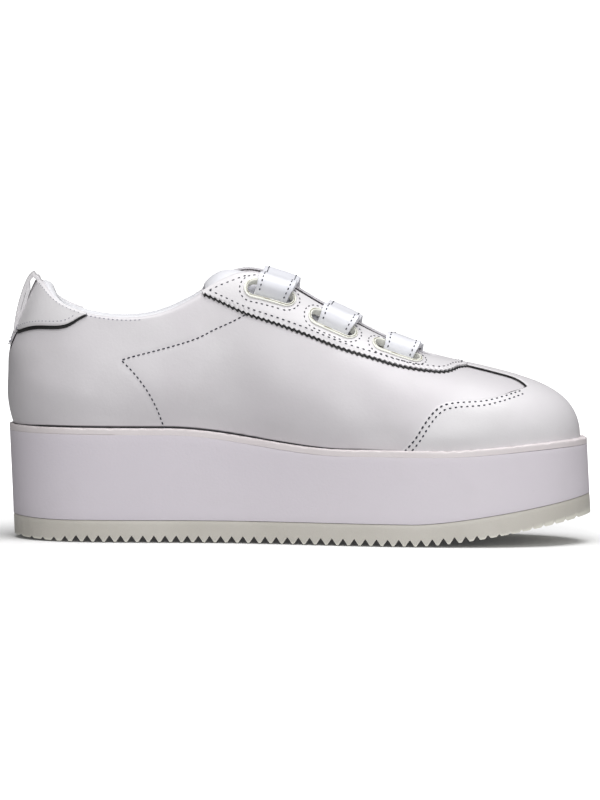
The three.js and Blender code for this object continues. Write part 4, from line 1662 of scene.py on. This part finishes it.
    def tab_line(self) -> Array:
        """The heel tab's lower edge, from the outer side round the heel to the inner."""
        inner = Leatherwork.trace(TAB_EDGE, 160, Side.INNER)
        outer = Leatherwork.trace(TAB_EDGE, 160, Side.OUTER)
        outer[:, 0] -= RING
        line = np.vstack([outer[::-1], inner])
        line = smooth_path(line[::8], 420)
        line[:, 0] = np.maximum.accumulate(line[:, 0]) + np.linspace(0, 1e-4, len(line))
        return line[line[:, 1] < 0.985]

    def heel_tab(self) -> bpy.types.Object:
        """The tab round the back of the collar."""
        edge = self.tab_line()
        far = np.stack([edge[:, 0], np.ones(len(edge))], axis=-1)
        u, v = ruled(edge, far, 40)
        t = np.linspace(0, 1, 40)[None, :]
        height = FACING_TOP - 0.4 * (1 - smoothstep(0, 0.05, t)) - 0.8 * smoothstep(0.97, 1.0, v) ** 2
        obj = Bench.grid("heel_tab_leather", Leatherwork.points(u, v, height), merge=False)
        Bench.edit(obj, bpy.ops.mesh.flip_normals)
        Bench.thicken(obj, self.tab_thickness)
        Bench.smooth(obj, 50)
        return keep(obj, OVERLAY_LEATHER, "overlay_leather", "heel_tab")

    def tab_binding(self) -> bpy.types.Object:
        """The dark folded edge under the heel tab."""
        line = self.tab_line()
        _, up, _ = LAST.slopes(line[:, 0], line[:, 1])
        share = 1 / np.linalg.norm(up, axis=-1)
        taper = 0.5 + 0.5 * (1 - smoothstep(1.7, 2.7, np.abs(line[:, 0])))
        edge = np.stack([line[:, 0], line[:, 1] - 1.5 * taper * share], axis=-1)
        far = np.stack([line[:, 0], np.minimum(line[:, 1] + 0.6 * share, 1)], axis=-1)
        u, v = ruled(edge, far, 7)
        obj = Leatherwork.sheet("heel_tab_binding", u, np.clip(v, 0, 1), np.full_like(u, 0.45), 0.35)
        return keep(obj, EDGE_PAINT, "overlay_leather")

    def pull_loop(self) -> bpy.types.Object:
        """The leather loop at the back: two plies sewn down low, standing off, folded over the collar."""
        route = ((1.6, 1, 92.5), (2.3, 1, 98), (3.7, 1, 105), (5.8, 1, 112), (8, 1, 116.8), (10.2, 1, 118.8),
                 (12.4, 1, 118.3), (13.6, 1, 115.8), (13.9, 1, 112.5))
        line = smooth_path(route, 48)
        tangent = unit(np.gradient(line, axis=0))
        out = unit(np.cross(tangent, np.array([0, 1.0, 0])))
        out = np.where(out[:, :1] > 0, -out, out)
        run = np.linspace(0, 1, len(line))[:, None]
        apart = 1.75 * smoothstep(0.02, 0.3, run) * (1 - smoothstep(0.5, 0.66, run))
        across = np.linspace(-1, 1, 20)
        for name, depth, half in (("outer", 0.0, 6.5), ("inner", 1.0, 6.2)):
            rows = [line + np.array([0, half * t, 0]) + out * (0.9 - 0.25 * abs(t) ** 6 - depth * apart)
                    for t in across]
            obj = Bench.grid(f"pull_loop_{name}_ply", np.stack(rows, axis=1), merge=False)
            Bench.face_along(obj, np.array([-1.0, 0, 0.2]))
            Bench.thicken(obj, self.loop_thickness)
            Bench.round_edges(obj, 0.32, 60, 3)
            Bench.smooth(obj, 60)
            keep(obj, OVERLAY_LEATHER, "overlay_leather", "pull_loop")
        return obj

    def build(self) -> None:
        """Builds every overlay."""
        self.facing()
        self.facing_underlay()
        self.toe_overlay()
        for side in Side:
            self.stem_binding(side)
        self.heel_tab()
        self.tab_binding()
        self.pull_loop()


# ---- Straps ------------------------------------------------------------------------------------


def patch_points(slot: Slot, along: Array, across: Array, height: float) -> Array:
    """Places near a slot's centre, at a height over the last.

    Args:
        slot: the slot.
        along: distances along it.
        across: distances across it.
        height: the height over the last.

    Returns:
        The places.
    """
    u, v = LAST.patch((slot.section, slot.level), along, across)
    return Leatherwork.points(u, v, height)


@dataclass(frozen=True)
class Fastening:
    """The three straps and the moulded rims that they come through."""

    thickness: float = 1.9
    clearance: float = 1.2
    toe_lift: float = 4.2
    steps: int = 84
    columns: int = 26

    def _outer_point(self, x: float, level: float, height: float) -> Array:
        """A place over the outer side of the upper, at a distance along the shoe.

        Args:
            x: the distance from the heel.
            level: how far up the last.
            height: the height over it.

        Returns:
            The place.
        """
        low, high = float(HALF), float(RING)
        for _ in range(40):
            middle = (low + high) / 2
            if LAST.surface(np.array(middle), np.array(level))[0] > x:
                low = middle
            else:
                high = middle
        return LAST.offset(np.array(low), np.array(level), np.array(height))

    def route(self, slot: Slot) -> Array:
        """The middle line of a strap, from inside its slot to its tip on the outer facing.

        Args:
            slot: the strap's slot.

        Returns:
            Points along the middle line.
        """

        def near(across: float, height: float) -> Array:
            """A place by the slot, across it and over the last."""
            u, v = LAST.patch((slot.section, slot.level), np.array(0.7), np.array(across))
            return LAST.offset(u, v, np.array(height))

        ahead = near(0, 0)[0] + slot.lean
        crown = self._outer_point(ahead, 1, 0)
        crown[1] = 0
        crown[2] += slot.crown
        rest = FACING_TOP + self.clearance + 1.0
        line = [near(-1, -3), near(-0.8, 0), near(0, 3.0), near(4.2, 5.2), crown]
        line += [self._outer_point(ahead, level, rest) for level in (0.99, 0.92, 0.84, 0.76, 0.68)]
        path = smooth_path(np.array(line), self.steps)
        padded = np.vstack([np.repeat(path[:1], 4, axis=0), path, np.repeat(path[-1:], 4, axis=0)])
        soft = np.stack([np.convolve(padded[:, k], np.ones(9) / 9, mode="valid") for k in range(3)], axis=-1)
        soft[0], soft[-1] = path[0], path[-1]
        return soft

    def frame(self, slot: Slot) -> tuple[Array, Array, Array, Array]:
        """A strap's middle line, its sideways and outward directions, and the distance along it.

        Args:
            slot: the strap's slot.

        Returns:
            The line, the two directions at each of its points, and the distances.
        """
        line = self.route(slot)
        first = unit(LAST.slopes(np.array(slot.section), np.array(slot.level))[0])
        last = -unit(LAST.slopes(np.array(RING - slot.section), np.array(slot.level))[0])
        t = np.linspace(0, 1, self.steps)[:, None]
        wide = unit(first * (1 - t) + last * t)
        out = unit(np.cross(wide, unit(np.gradient(line, axis=0))))
        return line, wide, out, distances(line)

    def face(self, slot: Slot, share: float, relief: float = 1.0) -> Array:
        """A line along a strap's outer face, at a share of its half width from the middle.

        Args:
            slot: the strap's slot.
            share: from -1 at the heel side to 1 at the toe side.
            relief: how much of the stitched seam's groove shows.

        Returns:
            Points of the line.
        """
        line, wide, out, run = self.frame(slot)
        half = slot.width / 2
        back = np.maximum(0, half - (run[-1] - run))
        width = np.maximum(0.3 * half, np.sqrt(np.maximum(half**2 - back**2, 0)))
        width *= 1 - 0.1 * (1 - smoothstep(4, 11, run))
        crown = 0.5 * (1 - abs(share) ** 2.5) - 0.3 * abs(share) ** 8
        seam = -0.16 * math.exp(-(((abs(share) - STRAP_SEAM) / 0.05) ** 2))
        toe_side = max(0.0, share - 0.3) ** 2 * np.exp(-(((run - 11.5) / 5.0) ** 2))
        lift = self.thickness / 2 - 0.2 + crown * 0.6 + seam * relief + self.toe_lift * toe_side
        return line + wide * (width * share)[:, None] + out * lift[:, None]

    def strap(self, slot: Slot) -> bpy.types.Object:
        """One strap: a crowned strip of leather with turned edges and a round end.

        Args:
            slot: the strap's slot.

        Returns:
            The strap.
        """
        out = self.frame(slot)[2]
        columns = [self.face(slot, share) for share in np.linspace(-1, 1, self.columns)]
        obj = Bench.grid(f"strap_{slot.name}_leather", np.stack(columns, axis=1), merge=False)
        self._orient(obj, out)
        Bench.thicken(obj, self.thickness)
        Bench.round_edges(obj, 0.36, 60, 3)
        Bench.smooth(obj, 60)
        return keep(obj, STRAP_LEATHER, "strap_leather", f"strap_{slot.name}")

    @staticmethod
    def _orient(obj: bpy.types.Object, out: Array) -> None:
        """Turns a strap's open sheet so that its faces look along its own outward side."""
        polygon = obj.data.polygons[0]
        if np.asarray(polygon.normal) @ out[0] < 0:
            Bench.edit(obj, bpy.ops.mesh.flip_normals)

    def rim(self, slot: Slot) -> bpy.types.Object:
        """A moulded rim round a slot, with an inlaid line.

        Args:
            slot: the slot that it lines.

        Returns:
            The rim.
        """
        half, lift = SLOT_HALF, FACING_TOP
        profile = [(0.0, -2.6), (0.3, -2.6), (0.4, -0.4), (0.8, 0.0), (1.35, 0.05), (1.55, 0.28),
                   (1.42, 0.58), (1.15, 0.7), (0.95, 0.6), (0.8, 0.4), (0.64, 0.6), (0.38, 0.72),
                   (0.12, 0.6), (0.0, 0.3), (-0.02, -1.2)]
        columns = []
        for out, height in profile:
            outline = stadium(slot.length + 2 * out, half + out, 96)
            columns.append(patch_points(slot, outline[:, 0], outline[:, 1], lift + height))
        obj = Bench.ring(f"slot_rim_{slot.name}_moulding", np.stack(columns, axis=1))
        Bench.smooth(obj, 50)
        centre, along, across, _ = slot_axes(slot)

        def inlay(places: Array) -> Array:
            """Which places lie on the inlaid line."""
            away = places - centre
            a = np.maximum(np.abs(away @ along) - (slot.length / 2 - half), 0)
            reach = np.hypot(a, away @ across) - half
            return 1.0 * (np.abs(reach - 0.8) < 0.16)

        mark(obj, "inlay", inlay)
        return keep(obj, RIM, "slot_rim", f"slot_rim_{slot.name}")

    def build(self) -> None:
        """Builds the straps and their rims."""
        for slot in SLOTS:
            self.strap(slot)
            self.rim(slot)


# ---- Stitching ---------------------------------------------------------------------------------


@dataclass(frozen=True)
class Row:
    """A row of stitches: a line of places over the leather, and the outward direction at each."""

    name: str
    line: Array
    out: Array
    pitch: float
    finish: Finish = THREAD
    slot: str = "overlay_leather"
    length: float = 1.6
    radius: float = 0.31


@dataclass(frozen=True)
class Stitching:
    """Every visible row of stitches on the shoe."""

    sides: int = 6
    seam_pitch: float = 2.35
    wing_pitch: float = 2.6
    facing_pitch: float = 2.75
    tab_pitch: float = 1.9
    collar_pitch: float = 2.0
    slot_pitch: float = 2.5
    strap_pitch: float = 2.3

    def _template(self) -> tuple[Array, list[tuple[int, ...]]]:
        """One stitch lying along x, bowed down at both ends, as places and faces."""
        ends = ((-0.5, 0.35), (-0.42, 0.8), (-0.2, 1.0), (0.2, 1.0), (0.42, 0.8), (0.5, 0.35))
        places, faces = [], []
        for along, size in ends:
            for k in range(self.sides):
                angle = 2 * math.pi * k / self.sides
                dip = -1.6 * abs(2 * along) ** 3
                places.append((along, size * math.cos(angle), size * math.sin(angle) + dip))
        for i in range(len(ends) - 1):
            for k in range(self.sides):
                m = (k + 1) % self.sides
                a, b = i * self.sides, (i + 1) * self.sides
                faces.append((a + k, b + k, b + m, a + m))
        faces.append(tuple(range(self.sides)))
        faces.append(tuple(range(len(places) - 1, len(places) - 1 - self.sides, -1)))
        return np.array(places), faces

    def sew(self, row: Row) -> bpy.types.Object:
        """Lays one row's stitches end to end as one mesh.

        Args:
            row: the row.

        Returns:
            The row's stitches.
        """
        run = distances(row.line)
        count = max(2, round(run[-1] / row.pitch))
        centres = (np.arange(count) + 0.5) * run[-1] / count

        def at(values: Array, where: Array) -> Array:
            """Values read off at distances along the row."""
            return np.stack([np.interp(where, run, values[:, k]) for k in range(3)], axis=-1)

        middle, out = at(row.line, centres), unit(at(row.out, centres))
        tangent = unit(at(row.line, centres + 0.4) - at(row.line, centres - 0.4))
        side = np.cross(out, tangent)
        places, faces = self._template()
        scaled = places * np.array([row.length, row.radius, row.radius])
        body = middle[:, None] + scaled[None, :, :1] * tangent[:, None]
        body = body + scaled[None, :, 1:2] * side[:, None] + scaled[None, :, 2:] * out[:, None]
        corners = np.concatenate([Bench.to_frame(b) for b in body])
        every = [tuple(k + i * len(places) for k in face) for i in range(count) for face in faces]
        mesh = bpy.data.meshes.new(row.name)
        mesh.from_pydata(corners.tolist(), [], every)
        obj = bpy.data.objects.new(row.name, mesh)
        bpy.context.scene.collection.objects.link(obj)
        Bench.recalculate(obj)
        Bench.smooth(obj, 80)
        return keep(obj, row.finish, row.slot)

    @staticmethod
    def over(name: str, uv: Array, height: float, pitch: float, **values: object) -> Row:
        """A row along a line of u and v at a height over the last.

        Args:
            name: the row's name.
            uv: rows of u and v.
            height: the height.
            pitch: the distance from stitch to stitch.
            values: its other values.

        Returns:
            The row.
        """
        line = Leatherwork.points(uv[:, 0], uv[:, 1], height)
        return Row(name, line, LAST.slopes(uv[:, 0], uv[:, 1])[2], pitch, **values)

    def rows(self, overlays: Overlays, fastening: Fastening) -> list[Row]:
        """Works out every row of stitches.

        Args:
            overlays: the overlays that the rows follow.
            fastening: the straps that the rows follow.

        Returns:
            The rows.
        """
        rows = []
        for side in Side:
            name = side.value
            seam = Leatherwork.trace(QUARTER_SEAM, 90, side)
            back = Leatherwork.trace(QUARTER_BACK, 90, side)
            for part, line in (("quarter", seam), ("quarter_back", back)):
                rows.append(self.over(f"{part}_stitch_{name}", line, 0.02, self.seam_pitch,
                                      slot="white_leather"))
            wing = overlays.wing_line(side)
            turn = 1 if side is Side.OUTER else -1
            side_part = wing[: int(np.argmax(wing[:, 1] > 0.548))]
            side_part = side_part[side_part[:, 1] > 0.04]
            for number, distance in enumerate((1.2, 3.4)):
                moved = LAST.beside(side_part, turn * distance)
                rows.append(self.over(f"wing_stitch_{name}_{number}", moved, FACING_TOP,
                                      self.wing_pitch, radius=0.38))
            top = Leatherwork.trace(FACING_TOP_SEAM, 60, side)
            rows.append(self.over(f"facing_top_stitch_{name}", top, FACING_TOP, self.facing_pitch))
        facing = overlays.facing_edge()
        facing = facing[facing[:, 1] < 0.97]
        rows.append(self.over("facing_stitch", LAST.beside(facing, 2.2), FACING_TOP, self.facing_pitch))
        tab = overlays.tab_line()
        tab = tab[np.abs(tab[:, 0]) < 2.3]
        rows.append(self.over("heel_tab_stitch", LAST.beside(tab, 1.9), FACING_TOP, self.tab_pitch,
                              length=1.0, radius=0.22, finish=PALE_THREAD))
        for side in Side:
            turn = -1 if side is Side.OUTER else 1
            rim_u = turn * np.linspace(0.75, 3.6, 200)
            rim = np.stack([rim_u, np.full_like(rim_u, 0.975)], axis=-1)
            on_tab = 1 - smoothstep(2.35, 2.6, np.abs(rim_u))
            height = (FACING_TOP - 0.1) * on_tab
            rows.append(self.over(f"collar_stitch_{side.value}", rim, height, self.collar_pitch,
                                  length=1.1, radius=0.24, finish=PALE_THREAD))
        for slot in SLOTS:
            ring = stadium(slot.length + 2 * 3.3, SLOT_HALF + 3.3, 160)
            u, v = LAST.patch((slot.section, slot.level), ring[:, 0], ring[:, 1])
            kept = v < 0.985
            start = int(np.argmax(~kept)) if not kept.all() else 0
            uv = np.roll(np.stack([u, v], axis=-1), -start, axis=0)
            uv = uv[np.roll(kept, -start)]
            rows.append(self.over(f"slot_stitch_{slot.name}", uv, FACING_TOP, self.slot_pitch))
            rows += self._strap_rows(fastening, slot)
        return rows

    def _strap_rows(self, fastening: Fastening, slot: Slot) -> list[Row]:
        """The rows along both edges of a strap.

        Args:
            fastening: the straps.
            slot: the strap's slot.

        Returns:
            Its two rows.
        """
        out, run = fastening.frame(slot)[2:]
        kept = (run > 3.6) & (run < run[-1] - 0.6 * slot.width)
        rows = []
        for name, share in (("heel_side", -STRAP_SEAM), ("toe_side", STRAP_SEAM)):
            edge = fastening.face(slot, share, relief=0.3)
            rows.append(Row(f"strap_{slot.name}_stitch_{name}", edge[kept], out[kept], self.strap_pitch,
                            slot="strap_leather", length=1.3, radius=0.3))
        return rows


# ---- Studio ------------------------------------------------------------------------------------


@dataclass(frozen=True)
class Studio:
    """A white floor, a soft light overhead and a long lens."""

    distance: float = 7.0
    elevation: float = 4.0
    roll: float = 0.45
    centre_height: float = 0.0623
    frame_height: float = 0.3610
    fill: float = 0.22
    backdrop: float = 1.05
    glow_start: float = 0.14
    glow_end: float = 0.36

    def camera(self) -> None:
        """Sets the camera square to the shoe's inner side."""
        data = bpy.data.cameras.new("camera")
        data.sensor_fit = "VERTICAL"
        data.sensor_height = 36.0
        data.lens = 36.0 * self.distance / self.frame_height
        data.clip_end = 20.0
        camera = bpy.data.objects.new("camera", data)
        bpy.context.scene.collection.objects.link(camera)
        tilt = math.radians(self.elevation)
        target = Vector((0, 0, self.centre_height))
        camera.location = target + Vector((0, -math.cos(tilt), math.sin(tilt))) * self.distance
        turn = Matrix.Rotation(math.pi / 2 - tilt, 3, "X") @ Matrix.Rotation(math.radians(self.roll), 3, "Z")
        camera.rotation_euler = turn.to_euler()
        bpy.context.scene.camera = camera

    def light(self, name: str, place: Sequence[float], size: float, power: float) -> None:
        """Adds a square area light that faces the shoe.

        Args:
            name: the lamp's name.
            place: where it hangs, in metres.
            size: its side, in metres.
            power: its power, in watts.
        """
        data = bpy.data.lights.new(name, "AREA")
        data.size = size
        data.energy = power
        lamp = bpy.data.objects.new(name, data)
        bpy.context.scene.collection.objects.link(lamp)
        lamp.location = Vector(place)
        aim = Vector((0, 0, 0.05)) - lamp.location
        lamp.rotation_euler = aim.to_track_quat("-Z", "Y").to_euler()

    def world(self) -> None:
        """An even grey fill that looks white behind the shoe."""
        world = bpy.data.worlds.new("studio")
        bpy.context.scene.world = world
        world.use_nodes = True
        nodes = Nodes(world.node_tree)
        ground = world.node_tree.nodes["Background"]
        ray = nodes.add("LightPath").outputs["Is Camera Ray"]
        nodes.feed(ground.inputs["Color"], (1, 1, 1, 1))
        nodes.feed(ground.inputs["Strength"], nodes.span(ray, 0, 1, self.fill, self.backdrop))

    def floor(self) -> None:
        """A pale floor that fades to plain white away from the shoe."""
        Bench.clear()
        bpy.ops.mesh.primitive_plane_add(size=16.0, location=(0, 0, -0.0004))
        floor = Bench.rename("studio_floor")
        bpy.ops.object.transform_apply(location=True, rotation=True, scale=True)
        finish = bpy.data.materials.new("studio floor")
        finish.use_nodes = True
        nodes = Nodes(finish.node_tree)
        shader = finish.node_tree.nodes["Principled BSDF"]
        place = nodes.add("TexCoord").outputs["Object"]
        away = nodes.add("VectorMath", {0: place}, operation="LENGTH").outputs["Value"]
        glow = nodes.span(away, self.glow_start, self.glow_end, 0.04, 1.0)
        seen = nodes.add("LightPath").outputs["Is Camera Ray"]
        nodes.feed(shader.inputs["Base Color"], nodes.blend(seen, (0.4, 0.4, 0.4), (0.88, 0.88, 0.88)))
        shader.inputs["Roughness"].default_value = 0.9
        shader.inputs["Specular IOR Level"].default_value = 0.0
        shader.inputs["Emission Color"].default_value = (1, 1, 1, 1)
        nodes.feed(shader.inputs["Emission Strength"], nodes.math("MULTIPLY", glow, seen))
        floor.data.materials.append(finish)

    def build(self) -> None:
        """Sets up the whole studio."""
        bpy.context.scene.view_settings.view_transform = "Standard"
        self.camera()
        self.world()
        self.floor()
        self.light("overhead", (0.15, -0.25, 1.3), 1.1, 17.5)
        self.light("front", (0.12, -1.6, 0.5), 0.9, 10.0)


def main() -> None:
    """Builds the shoe from the sole up and sets it in the studio."""
    logging.basicConfig(level=logging.INFO, format="%(name)s: %(message)s")
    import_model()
    Bench.settle()
    Studio().build()
    Sole().build()
    Upper().build()
    Tongue().build()
    overlays, fastening = Overlays(), Fastening()
    overlays.build()
    fastening.build()
    stitching = Stitching()
    for row in stitching.rows(overlays, fastening):
        stitching.sew(row)


if __name__ == "__main__":
    main()
